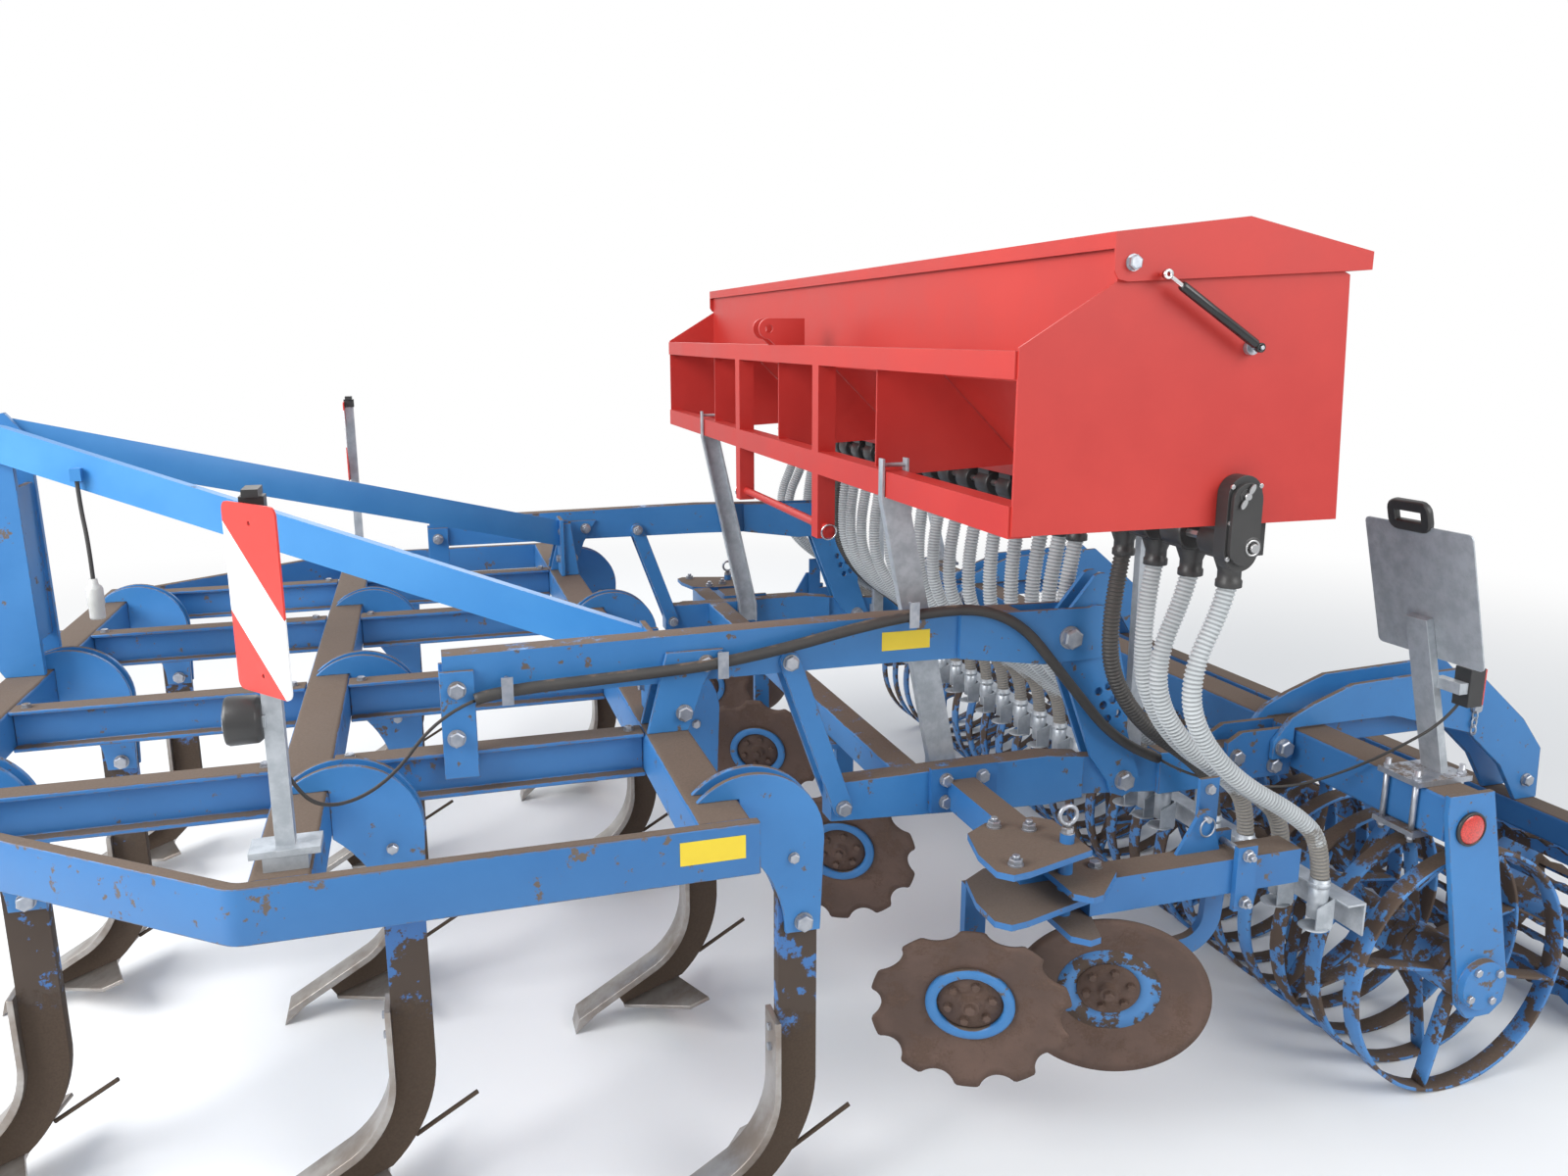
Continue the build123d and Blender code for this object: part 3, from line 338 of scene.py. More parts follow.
class Nodes:
    """A shader tree that is filled by short calls."""

    def __init__(self, tree: bpy.types.NodeTree) -> None:
        """Keeps the tree."""
        self.tree = tree

    def feed(self, node: bpy.types.Node, inputs: dict[Any, Any]) -> None:
        """Gives a node's inputs, by name or number, their values or the sockets that feed them."""
        for key, value in inputs.items():
            if isinstance(value, bpy.types.NodeSocket):
                self.tree.links.new(value, node.inputs[key])
            else:
                node.inputs[key].default_value = value

    def add(self, kind: str, inputs: dict[Any, Any] | None = None, **settings: Any) -> bpy.types.Node:
        """Adds a node of one of Blender's kinds, with its settings and inputs."""
        node = self.tree.nodes.new(kind)
        for key, value in settings.items():
            setattr(node, key, value)
        self.feed(node, inputs or {})
        return node

    def maths(self, operation: str, first: Any, second: Any = 0.0, clamp: bool = False) -> bpy.types.NodeSocket:
        """One sum of two numbers or sockets."""
        return self.add("ShaderNodeMath", {0: first, 1: second}, operation=operation, use_clamp=clamp).outputs[0]

    def times(self, first: Any, second: Any) -> bpy.types.NodeSocket:
        """The product."""
        return self.maths("MULTIPLY", first, second)

    def plus(self, first: Any, second: Any, clamp: bool = False) -> bpy.types.NodeSocket:
        """The sum."""
        return self.maths("ADD", first, second, clamp)

    def less(self, first: Any, second: Any) -> bpy.types.NodeSocket:
        """The difference."""
        return self.maths("SUBTRACT", first, second)

    def place(self) -> bpy.types.NodeSocket:
        """Object coordinates."""
        return self.add("ShaderNodeTexCoord").outputs["Object"]

    def axis(self, vector: bpy.types.NodeSocket, letter: str) -> bpy.types.NodeSocket:
        """One part of a vector."""
        return self.add("ShaderNodeSeparateXYZ", {0: vector}).outputs[letter]

    def noise(self, scale: Any, detail: float, rough: float, shift: float = 0.0) -> bpy.types.NodeSocket:
        """Noise on Object coordinates."""
        moved = self.add("ShaderNodeMapping", {"Vector": self.place(), "Location": (shift, shift, shift)}).outputs[0]
        return self.add("ShaderNodeTexNoise", {"Vector": moved, "Scale": scale, "Detail": detail,
                                               "Roughness": rough}).outputs["Fac"]

    def ramp(self, value: Any, low: Any, high: Any, to_low: float = 0.0, to_high: float = 1.0) -> bpy.types.NodeSocket:
        """Maps a range smoothly to another and holds it at the ends."""
        return self.add("ShaderNodeMapRange", {"Value": value, "From Min": low, "From Max": high, "To Min": to_low,
                                               "To Max": to_high}, interpolation_type="SMOOTHSTEP").outputs[0]

    def blend(self, share: Any, first: Any, second: Any) -> bpy.types.NodeSocket:
        """Mixes two colours."""
        ends = [(*end, 1.0) if isinstance(end, tuple) else end for end in (first, second)]
        return self.add("ShaderNodeMix", {0: share, 6: ends[0], 7: ends[1]}, data_type="RGBA").outputs[2]

    def group(self, tree: bpy.types.NodeTree, **inputs: float) -> Any:
        """Places a shared effect and gives its outputs."""
        return self.add("ShaderNodeGroup", inputs, node_tree=tree).outputs

    def bump(self, strength: float, distance: float, height: Any) -> bpy.types.NodeSocket:
        """A normal bent by a height."""
        return self.add("ShaderNodeBump", {"Strength": strength, "Distance": distance, "Height": height}).outputs[0]


def new_group(name: str, inputs: dict[str, float], outputs: Sequence[str]) -> tuple[Nodes, Any, bpy.types.Node]:
    """Starts a shared effect.

    Args:
        name: Name of the group.
        inputs: Input names and their usual values.
        outputs: Output names.

    Returns:
        The tree to fill, the sockets of its inputs, and its output node.
    """
    tree = bpy.data.node_groups.new(name, "ShaderNodeTree")
    for key, value in inputs.items():
        tree.interface.new_socket(name=key, in_out="INPUT", socket_type="NodeSocketFloat").default_value = value
    for key in outputs:
        tree.interface.new_socket(name=key, in_out="OUTPUT", socket_type="NodeSocketFloat")
    nodes = Nodes(tree)
    return nodes, nodes.add("NodeGroupInput").outputs, nodes.add("NodeGroupOutput")


def new_material(name: str) -> tuple[bpy.types.Material, Nodes, bpy.types.Node]:
    """Starts a material; gives it, its tree and its Principled shader."""
    made = bpy.data.materials.new(name)
    made.use_nodes = True
    return made, Nodes(made.node_tree), made.node_tree.nodes["Principled BSDF"]


def shaded(colour: Colour, share: float) -> Colour:
    """A darker colour."""
    return tuple(share * part for part in colour)


class Effects:
    """Shader groups that several finishes share, built once."""

    def __init__(self) -> None:
        """Builds the groups."""
        self.wear, self.soil, self.tone = self._wear(), self._soil(), self._tone()

    @staticmethod
    def _wear() -> bpy.types.NodeTree:
        """Bare places: the edge attribute broken up by noise, plus flakes anywhere."""
        nodes, given, out = new_group("edge_wear", {"Edges": 0.6, "Flakes": 0.0, "Scale": 40.0}, ["Mask", "Height"])
        edge = nodes.add("ShaderNodeAttribute", attribute_name="edge").outputs["Fac"]
        fine, coarse = nodes.noise(given["Scale"], 6.0, 0.65), nodes.noise(9.0, 5.0, 0.7, 3.1)
        broken = nodes.ramp(nodes.times(fine, nodes.plus(coarse, 0.45)), 0.4, 0.52)
        rim = nodes.times(nodes.times(edge, broken), given["Edges"])
        level = nodes.less(0.92, nodes.times(given["Flakes"], 0.62))
        flake = nodes.ramp(nodes.times(nodes.plus(fine, coarse), 0.78), level, nodes.plus(level, 0.05))
        mask = nodes.maths("MAXIMUM", rim, nodes.times(flake, nodes.ramp(given["Flakes"], 0.0, 0.02)))
        nodes.feed(out, {"Mask": mask, "Height": nodes.less(1.0, mask)})
        return nodes.tree

    @staticmethod
    def _soil() -> bpy.types.NodeTree:
        """Dried soil: thick on faces that look up, and rising from the ground to a height."""
        nodes, given, out = new_group("dried_soil", {"Top": 0.6, "Over": 0.1, "Height": 0.0, "Scale": 14.0},
                                      ["Mask", "Crust"])
        facing = nodes.axis(nodes.add("ShaderNodeTexCoord").outputs["Normal"], "Z")
        patch, grain = nodes.noise(given["Scale"], 7.0, 0.7, 1.7), nodes.noise(160.0, 3.0, 0.6)
        top = nodes.times(nodes.ramp(facing, 0.35, 0.95), given["Top"])
        low = nodes.ramp(nodes.axis(nodes.place(), "Z"), given["Height"], nodes.less(given["Height"], 0.28))
        low = nodes.times(low, nodes.ramp(given["Height"], 0.0, 0.05))
        amount = nodes.plus(nodes.maths("MAXIMUM", top, low), given["Over"])
        edge = nodes.less(0.86, nodes.times(amount, 0.62))
        mask = nodes.ramp(nodes.plus(nodes.times(patch, 0.8), nodes.times(grain, 0.2)), edge, nodes.plus(edge, 0.13))
        nodes.feed(out, {"Mask": mask, "Crust": nodes.times(mask, nodes.plus(grain, patch))})
        return nodes.tree

    @staticmethod
    def _tone() -> bpy.types.NodeTree:
        """Light and dark patches, and a fine grain."""
        nodes, given, out = new_group("patchy_tone", {"Scale": 3.0}, ["Patch", "Grain"])
        patch = nodes.ramp(nodes.noise(given["Scale"], 5.0, 0.65, 5.3), 0.3, 0.7)
        nodes.feed(out, {"Patch": patch, "Grain": nodes.noise(220.0, 2.0, 0.5, 2.2)})
        return nodes.tree


@dataclass(frozen=True)
class Finish:
    """A coated or bare surface with patches, wear and soil, and painted shade in the valleys of ribs where asked."""

    name: str
    slot: Slot
    colour: Colour
    second: Colour
    bare: Colour = (0.16, 0.13, 0.11)
    soil: Colour = (0.165, 0.12, 0.09)
    roughness: float = 0.4
    metal: float = 0.0
    edges: float = 0.0
    flakes: float = 0.0
    flake_scale: float = 40.0
    top: float = 0.0
    dusty: float = 0.0
    height: float = 0.0
    patch: float = 3.0
    bump: float = 0.1
    # strength of the painted shade in the valleys of ribs
    groove_shade: float = 0.0

    def material(self, effects: Effects) -> bpy.types.Material:
        """Builds the material from the shared effects; a painted shade darkens the valleys of ribs, read from a point
        attribute.
        """
        made, nodes, shader = new_material(self.name)
        tone = nodes.group(effects.tone, Scale=self.patch)
        colour = nodes.blend(tone["Patch"], self.colour, self.second)
        rough = nodes.ramp(tone["Patch"], 0.0, 1.0, self.roughness, self.roughness + 0.08)
        height = nodes.times(tone["Grain"], self.bump)
        metal: Any = self.metal
        if self.edges > 0 or self.flakes > 0:
            wear = nodes.group(effects.wear, Edges=self.edges, Flakes=self.flakes, Scale=self.flake_scale)
            colour = nodes.blend(wear["Mask"], colour, self.bare)
            rough = nodes.plus(rough, nodes.times(wear["Mask"], 0.25))
            metal = nodes.times(wear["Mask"], 0.55)
            height = nodes.plus(height, nodes.times(wear["Height"], 0.35))
        if self.top > 0 or self.dusty > 0 or self.height > 0:
            soil = nodes.group(effects.soil, Top=self.top, Over=self.dusty, Height=self.height)
            brown = nodes.blend(tone["Grain"], self.soil, shaded(self.soil, 0.62))
            colour = nodes.blend(soil["Mask"], colour, brown)
            rough = nodes.plus(rough, nodes.times(soil["Mask"], 0.5), True)
            height = nodes.plus(height, nodes.times(soil["Crust"], 0.8))
            if metal != 0.0:
                metal = nodes.times(metal, nodes.less(1.0, soil["Mask"]))
        # painted shade: the rib valleys are darkened towards a quarter of the colour, where shade falls between the
        # ribs
        if self.groove_shade > 0:
            groove_shade_mask = nodes.add("ShaderNodeAttribute", attribute_name="groove_shade").outputs["Fac"]
            colour = nodes.blend(nodes.times(groove_shade_mask, self.groove_shade), colour, shaded(self.colour, 0.25))
        nodes.feed(shader, {"Base Color": colour, "Roughness": rough, "Metallic": metal,
                            "Normal": nodes.bump(0.35, 0.0015, height)})
        return made


@dataclass(frozen=True)
class Banding:
    """Film with a slanting white band on red and a light grime."""

    name: str
    slot: Slot = Slot.BOARD
    red: Colour = (0.66, 0.045, 0.035)
    white: Colour = (0.83, 0.83, 0.82)
    width: float = 0.141
    centre: float = 1.394

    def material(self, effects: Effects) -> bpy.types.Material:
        """One white band runs down outwards: height plus the distance out along the board, within a width."""
        made, nodes, shader = new_material(self.name)
        across = nodes.axis(nodes.place(), "Y")
        left = nodes.maths("GREATER_THAN", across, 0.0)
        middle, share = nodes.ramp(left, 0.0, 1.0, 1.430, 1.484), nodes.ramp(left, 0.0, 1.0, 1.0, 0.785)
        out = nodes.maths("DIVIDE", nodes.less(nodes.maths("ABSOLUTE", across), middle), share)
        slant = nodes.less(nodes.plus(nodes.axis(nodes.place(), "Z"), out), self.centre)
        band = nodes.maths("LESS_THAN", nodes.maths("ABSOLUTE", slant), self.width / 2)
        grime = nodes.group(effects.soil, Top=0.1, Over=0.2, Height=0.0)["Mask"]
        colour = nodes.blend(nodes.times(grime, 0.5), nodes.blend(band, self.red, self.white), (0.3, 0.25, 0.2))
        nodes.feed(shader, {"Base Color": colour, "Roughness": 0.35})
        return made


@dataclass(frozen=True)
class Lens:
    """Moulded reflector or lamp glass with small facets."""

    name: str
    slot: Slot
    colour: Colour
    cells: float = 260.0

    def material(self, effects: Effects) -> bpy.types.Material:
        """Gloss over a honeycomb bump."""
        made, nodes, shader = new_material(self.name)
        cell = nodes.add("ShaderNodeTexVoronoi", {"Vector": nodes.place(), "Scale": self.cells},
                         feature="F1").outputs["Distance"]
        nodes.feed(shader, {"Base Color": nodes.blend(cell, self.colour, shaded(self.colour, 0.45)),
                            "Roughness": 0.12, "Coat Weight": 0.6, "Normal": nodes.bump(0.4, 0.001, cell)})
        return made


class Coat(Enum):
    """Every finish on the machine."""

    FRAME = Finish("frame_blue", Slot.BLUE, (0.027, 0.140, 0.36), (0.036, 0.165, 0.40), edges=0.6, top=1.0,
                   dusty=0.08, roughness=0.38, flakes=0.03)
    PLATE = Finish("plate_blue", Slot.BLUE, (0.034, 0.175, 0.43), (0.045, 0.205, 0.48), edges=0.5, top=0.8,
                   dusty=0.05, roughness=0.36, flakes=0.02)
    BRACE = Finish("brace_blue", Slot.BLUE, (0.045, 0.225, 0.53), (0.055, 0.255, 0.57), edges=0.4, top=0.35,
                   dusty=0.05, roughness=0.34)
    STEM = Finish("stem_blue", Slot.WORN, (0.032, 0.13, 0.35), (0.045, 0.155, 0.39), (0.09, 0.068, 0.055),
                  (0.085, 0.058, 0.040), edges=1.0, top=0.9, dusty=0.26, height=0.60, roughness=0.45, flakes=0.36,
                  flake_scale=22)
    RING = Finish("ring_blue", Slot.WORN, (0.045, 0.17, 0.42), (0.075, 0.24, 0.52), (0.12, 0.085, 0.065),
                  (0.13, 0.09, 0.065), edges=0.7, top=0.7, dusty=0.15, height=0.12, roughness=0.45, flakes=0.25,
                  flake_scale=24)
    DISC = Finish("disc_steel", Slot.STEEL, (0.14, 0.085, 0.064), (0.10, 0.064, 0.05), top=0.5, dusty=0.6,
                  roughness=0.6, metal=0.25, patch=6.0, bump=0.4, soil=(0.14, 0.088, 0.065))
    SHARE = Finish("share_steel", Slot.STEEL, (0.42, 0.40, 0.38), (0.24, 0.2, 0.17), dusty=0.24, height=0.06,
                   roughness=0.30, metal=0.8, patch=7.0)
    BOLT = Finish("zinc_bolt", Slot.STEEL, (0.46, 0.47, 0.50), (0.30, 0.33, 0.38), dusty=0.16, top=0.5,
                  roughness=0.35, metal=0.8, patch=30.0)
    ZINC = Finish("galvanised_sheet", Slot.ZINC, (0.50, 0.53, 0.56), (0.36, 0.39, 0.42), top=0.35, dusty=0.10,
                  roughness=0.42, metal=0.55, patch=26.0, bump=0.05)
    RED = Finish("box_red", Slot.RED, (0.47, 0.026, 0.020), (0.53, 0.035, 0.026), (0.25, 0.2, 0.18),
                 (0.42, 0.33, 0.26), edges=0.15, top=0.10, dusty=0.02, roughness=0.45, bump=0.04)
    # the ribbed grey hoses carry painted shade in their rib valleys
    HOSE = Finish("ribbed_grey", Slot.HOSE, (0.60, 0.63, 0.64), (0.50, 0.53, 0.54), top=0.3, dusty=0.10,
                  height=0.9, roughness=0.5, soil=(0.31, 0.28, 0.24), patch=8.0, groove_shade=0.75)
    DARK_HOSE = Finish("ribbed_black", Slot.RUBBER, (0.035, 0.034, 0.033), (0.06, 0.055, 0.05), top=0.5, dusty=0.15,
                       roughness=0.5, soil=(0.2, 0.16, 0.12))
    BLACK = Finish("black_moulding", Slot.BLACK, (0.022, 0.022, 0.023), (0.04, 0.039, 0.038), top=0.35, dusty=0.06,
                   roughness=0.36, soil=(0.24, 0.2, 0.16))
    RUBBER = Finish("cable_rubber", Slot.RUBBER, (0.03, 0.029, 0.028), (0.055, 0.05, 0.045), top=0.5, dusty=0.12,
                    roughness=0.55)
    GREY = Finish("plug_grey", Slot.PLUG, (0.55, 0.55, 0.53), (0.45, 0.45, 0.43), dusty=0.12, top=0.2, roughness=0.45)
    STRUT = Finish("strut_black", Slot.STRUT, (0.012, 0.012, 0.013), (0.02, 0.02, 0.021), roughness=0.2, bump=0.02)
    CHROME = Finish("strut_bright", Slot.CHROME, (0.75, 0.75, 0.76), (0.7, 0.7, 0.71), roughness=0.1, metal=1.0,
                    bump=0.0)
    SIGN = Finish("blank_yellow", Slot.BLUE, (0.80, 0.60, 0.03), (0.72, 0.53, 0.03), dusty=0.12, bump=0.02)
    SHAFT = Finish("turned_steel", Slot.STEEL, (0.62, 0.62, 0.63), (0.5, 0.5, 0.5), roughness=0.25, metal=0.95,
                   bump=0.03)
    BOARD = Banding("board_bands")
    REFLECTOR = Lens("reflector_lens", Slot.REFLECTOR, (0.80, 0.045, 0.03))
    CLEAR = Lens("clear_lens", Slot.PLUG, (0.75, 0.76, 0.76), 180.0)


class Workshop:
    """Makes materials once and turns shapes into pieces that ride on the frame."""

    def __init__(self) -> None:
        """Builds the shared effects."""
        self.effects = Effects()
        self.made: dict[Coat, bpy.types.Material] = {}

    def coat(self, coat: Coat) -> bpy.types.Material:
        """The material of a finish."""
        if coat not in self.made:
            self.made[coat] = coat.value.material(self.effects)
        return self.made[coat]

    def piece(self, name: str, form: Shape | bpy.types.Mesh, coat: Coat, body: str = ROOT,
              replaces: Sequence[str] = (), bevel: float = 0.0) -> bpy.types.Object:
        """Puts a shape or a mesh into the scene as a piece.

        Args:
            name: Name of the piece.
            form: Its shape or mesh, already in place.
            coat: Its finish.
            body: Body that it rides on.
            replaces: CAD nodes that it stands for.
            bevel: Width of the broken edges, or nought.

        Returns:
            The object.
        """
        mesh = form.mesh(name) if isinstance(form, Shape) else form
        mesh.materials.clear()
        mesh.materials.append(self.coat(coat))
        made = bpy.data.objects.new(name, mesh)
        bpy.context.scene.collection.objects.link(made)
        if bevel > 0:
            cut = made.modifiers.new("edges", "BEVEL")
            cut.width, cut.segments, cut.limit_method, cut.angle_limit = bevel, 2, "ANGLE", radians(38)
        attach(made, body)
        if replaces:
            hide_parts(*replaces)
        log.info("piece %s: %d faces", name, len(mesh.polygons))
        return made

    def rounded(self, node: str, coat: Coat, width: float, body: str) -> None:
        """Copies a CAD node, joins its loose triangles, breaks its edges and marks them for wear.

        Args:
            node: CAD node that the copy stands for.
            coat: Finish.
            width: Width of the broken edge.
            body: Body that it rides on.
        """
        build = bmesh.new()
        build.from_mesh(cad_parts[node].data)
        bmesh.ops.remove_doubles(build, verts=build.verts, dist=2e-5)
        bmesh.ops.dissolve_limit(build, angle_limit=radians(1.0), verts=build.verts, edges=build.edges)
        for face in build.faces:
            face.smooth = any(radians(1.5) < edge.calc_face_angle(0.0) < radians(30) for edge in face.edges)
        sharp = [edge for edge in build.edges if len(edge.link_faces) == 2 and edge.calc_face_angle(0.0) > radians(30)]
        mark = build.faces.layers.float.new("edge")
        cut = bmesh.ops.bevel(build, geom=sharp, offset=width, segments=2, profile=0.6, affect="EDGES",
                              clamp_overlap=True)
        for face in cut["faces"]:
            face[mark] = 1.0
            face.smooth = True
        bmesh.ops.triangulate(build, faces=[face for face in build.faces if len(face.verts) > 4])
        mesh = bpy.data.meshes.new(node + "_skin")
        build.to_mesh(mesh)
        build.free()
        self.piece(node + "_skin", mesh, coat, body, [node])


@dataclass
class Assembly:
    """A sub-assembly that a workshop makes."""

    shop: Workshop

    def skins(self, coat: Coat, width: float, *nodes: str, body: str = ROOT) -> None:
        """Dresses CAD nodes in a finish, their edges broken by a width."""
        for node in nodes:
            self.shop.rounded(node, coat, width, body)


@dataclass
class MainFrame(Assembly):
    """Tubes, beams, rails, mast and hitch of the main frame."""

    sign_half: tuple[float, float] = (0.06, 0.022)
    signs: tuple[tuple[float, float, float], ...] = ((0.549, 1.5156, 0.918), (-0.047, 0.9806, 1.122))

    def build(self) -> None:
        """Dresses the nodes, adds the bolts of braces, brackets and hitch pins, and the blank yellow plates."""
        self.skins(Coat.FRAME, 0.003, "front_tube", "middle_tube", "rear_tube", "long_beams", "side_rails")
        self.skins(Coat.PLATE, 0.0018, "mast", "brace_brackets", "link_brackets", "arm_brackets", "strap_links")
        self.skins(Coat.BRACE, 0.003, "mast_braces")
        self.skins(Coat.SHAFT, 0.002, "link_pins")
        bolts, plates = Shape(), Shape()
        width, height = self.sign_half
        for side in SIDES:
            for z in (1.02, 1.12):
                bolts.bolt((0.54, side * 0.815, z), AHEAD, 0.016)
            for out in SIDES:
                bolts.lathe([(0, 0), (0.026, 0), (0.026, 0.006), (0.022, 0.008), (0, 0.008)],
                            (2.13, side * (0.45 + out * 0.07), 0.8), (0, side * out, 0), 24)
            for x, y, z in self.signs:
                plates.plate(rectangle(-width, width, -height, height), 0.0012, (x, side * y, z), AHEAD, UP)
        for x in (0.6, 1.18, 1.34, 1.92):
            for y in (-0.95, -0.37, 0.37, 0.95):
                bolts.bolt((x, y, 0.96), UP, 0.012)
        self.shop.piece("frame_bolts", bolts, Coat.BOLT)
        self.shop.piece("blank_signs", plates, Coat.SIGN)


@dataclass
class Tines(Assembly):
    """Holder plates, stems, shares and their bolts."""

    rows: tuple[tuple[float, Point], ...] = (
        (0.52, (1.375, 0.55, -0.275, -1.1)), (1.26, (1.1, 0.275, -0.55, -1.375)), (2.0, (0.825, 0.0, -0.825)))
    # columns: distance behind the row, height, size, length of thread
    cross_bolts: tuple[Point, ...] = ((0.158, 0.827, 0.012, 0.006), (0.178, 0.69, 0.02, 0.01))

    def build(self) -> None:
        """Dresses the nodes and bolts every tine."""
        self.skins(Coat.PLATE, 0.0018, "tine_carriers")
        self.skins(Coat.STEM, 0.003, "tine_stems")
        self.skins(Coat.SHARE, 0.0014, "shares")
        shape = Shape()
        for x, y in [(x, y) for x, lines in self.rows for y in lines]:
            for side in SIDES:
                for back, z, size, thread in self.cross_bolts:
                    shape.bolt((x - back, y + side * 0.027, z), (0, side, 0), size, stem=thread if side < 0 else 0)
            for z in (0.41, 0.455):
                shape.bolt((x - 0.118, y, z), AHEAD, 0.01, False)
        self.shop.piece("tine_bolts", shape, Coat.BOLT)


@dataclass
class Linkage(Assembly):
    """Depth linkage on both sides: arms, hole plates and bolts."""

    outline: tuple[Point, ...] = (
        (-0.560, 0.775), (-0.436, 1.095), (-0.434, 1.112), (-0.542, 1.243), (-0.552, 1.248), (-0.570, 1.248),
        (-0.578, 1.240), (-0.655, 0.930), (-0.660, 0.835), (-0.702, 0.712), (-0.702, 0.700), (-0.689, 0.673),
        (-0.657, 0.660), (-0.625, 0.673), (-0.612, 0.705))
    # columns: first hole's x and z, step along the row, step between the rows
    fields: tuple[Point, ...] = ((-0.590, 1.075, 0.046, 0.032), (-0.628, 0.885, 0.040, 0.030))
    # columns: x, z, distance of the face from the arm's middle, size
    joints: tuple[Point, ...] = (
        (0.960, 1.098, 0.042, 0.02), (0.966, 0.994, 0.042, 0.02), (0.432, 1.111, 0.042, 0.02),
        (0.483, 1.002, 0.042, 0.02), (-0.472, 1.098, 0.042, 0.03), (0.237, 1.095, 0.042, 0.02),
        (0.107, 0.730, 0.042, 0.02), (-0.657, 0.705, 0.030, 0.027), (-0.985, 0.736, 0.045, 0.022),
        (-1.105, 0.700, 0.045, 0.022), (-1.118, 0.752, 0.060, 0.026), (-1.985, 0.56, 0.060, 0.02),
        (-1.76, 0.80, 0.060, 0.018))

    def build(self) -> None:
        """Dresses the arms, cuts two fields of holes in the plates, and bolts all up, threads inside."""
        self.skins(Coat.PLATE, 0.0025, "upper_arms", "lower_arms")
        self.skins(Coat.FRAME, 0.0025, "roller_beam")
        self.skins(Coat.PLATE, 0.0025, "arch_plates", "roller_ends", "disc_beam")
        along = unit((0.4, 1.0))
        square = np.array([along[1], -along[0]])
        holes = [(*(np.array([x, z]) + along * step * k + square * gap * j).tolist(), 0.011)
                 for x, z, step, gap in self.fields for k in range(3) for j in range(2)]
        plates, bolts = Shape(), Shape()
        for side in SIDES:
            for gap in (-0.024, 0.024):
                plates.plate(self.outline, 0.012, (0, side * ARM_Y + gap, 0), AHEAD, UP, holes, 16)
            for x, z, reach, size in self.joints:
                for out in SIDES:
                    bolts.bolt((x, side * ARM_Y + out * reach, z), (0, out, 0), size,
                               stem=0.25 * size if out != side else 0)
        self.shop.piece("hole_plates_cut", plates, Coat.PLATE, replaces=["hole_plates"], bevel=0.0012)
        self.shop.piece("linkage_bolts", bolts, Coat.BOLT)


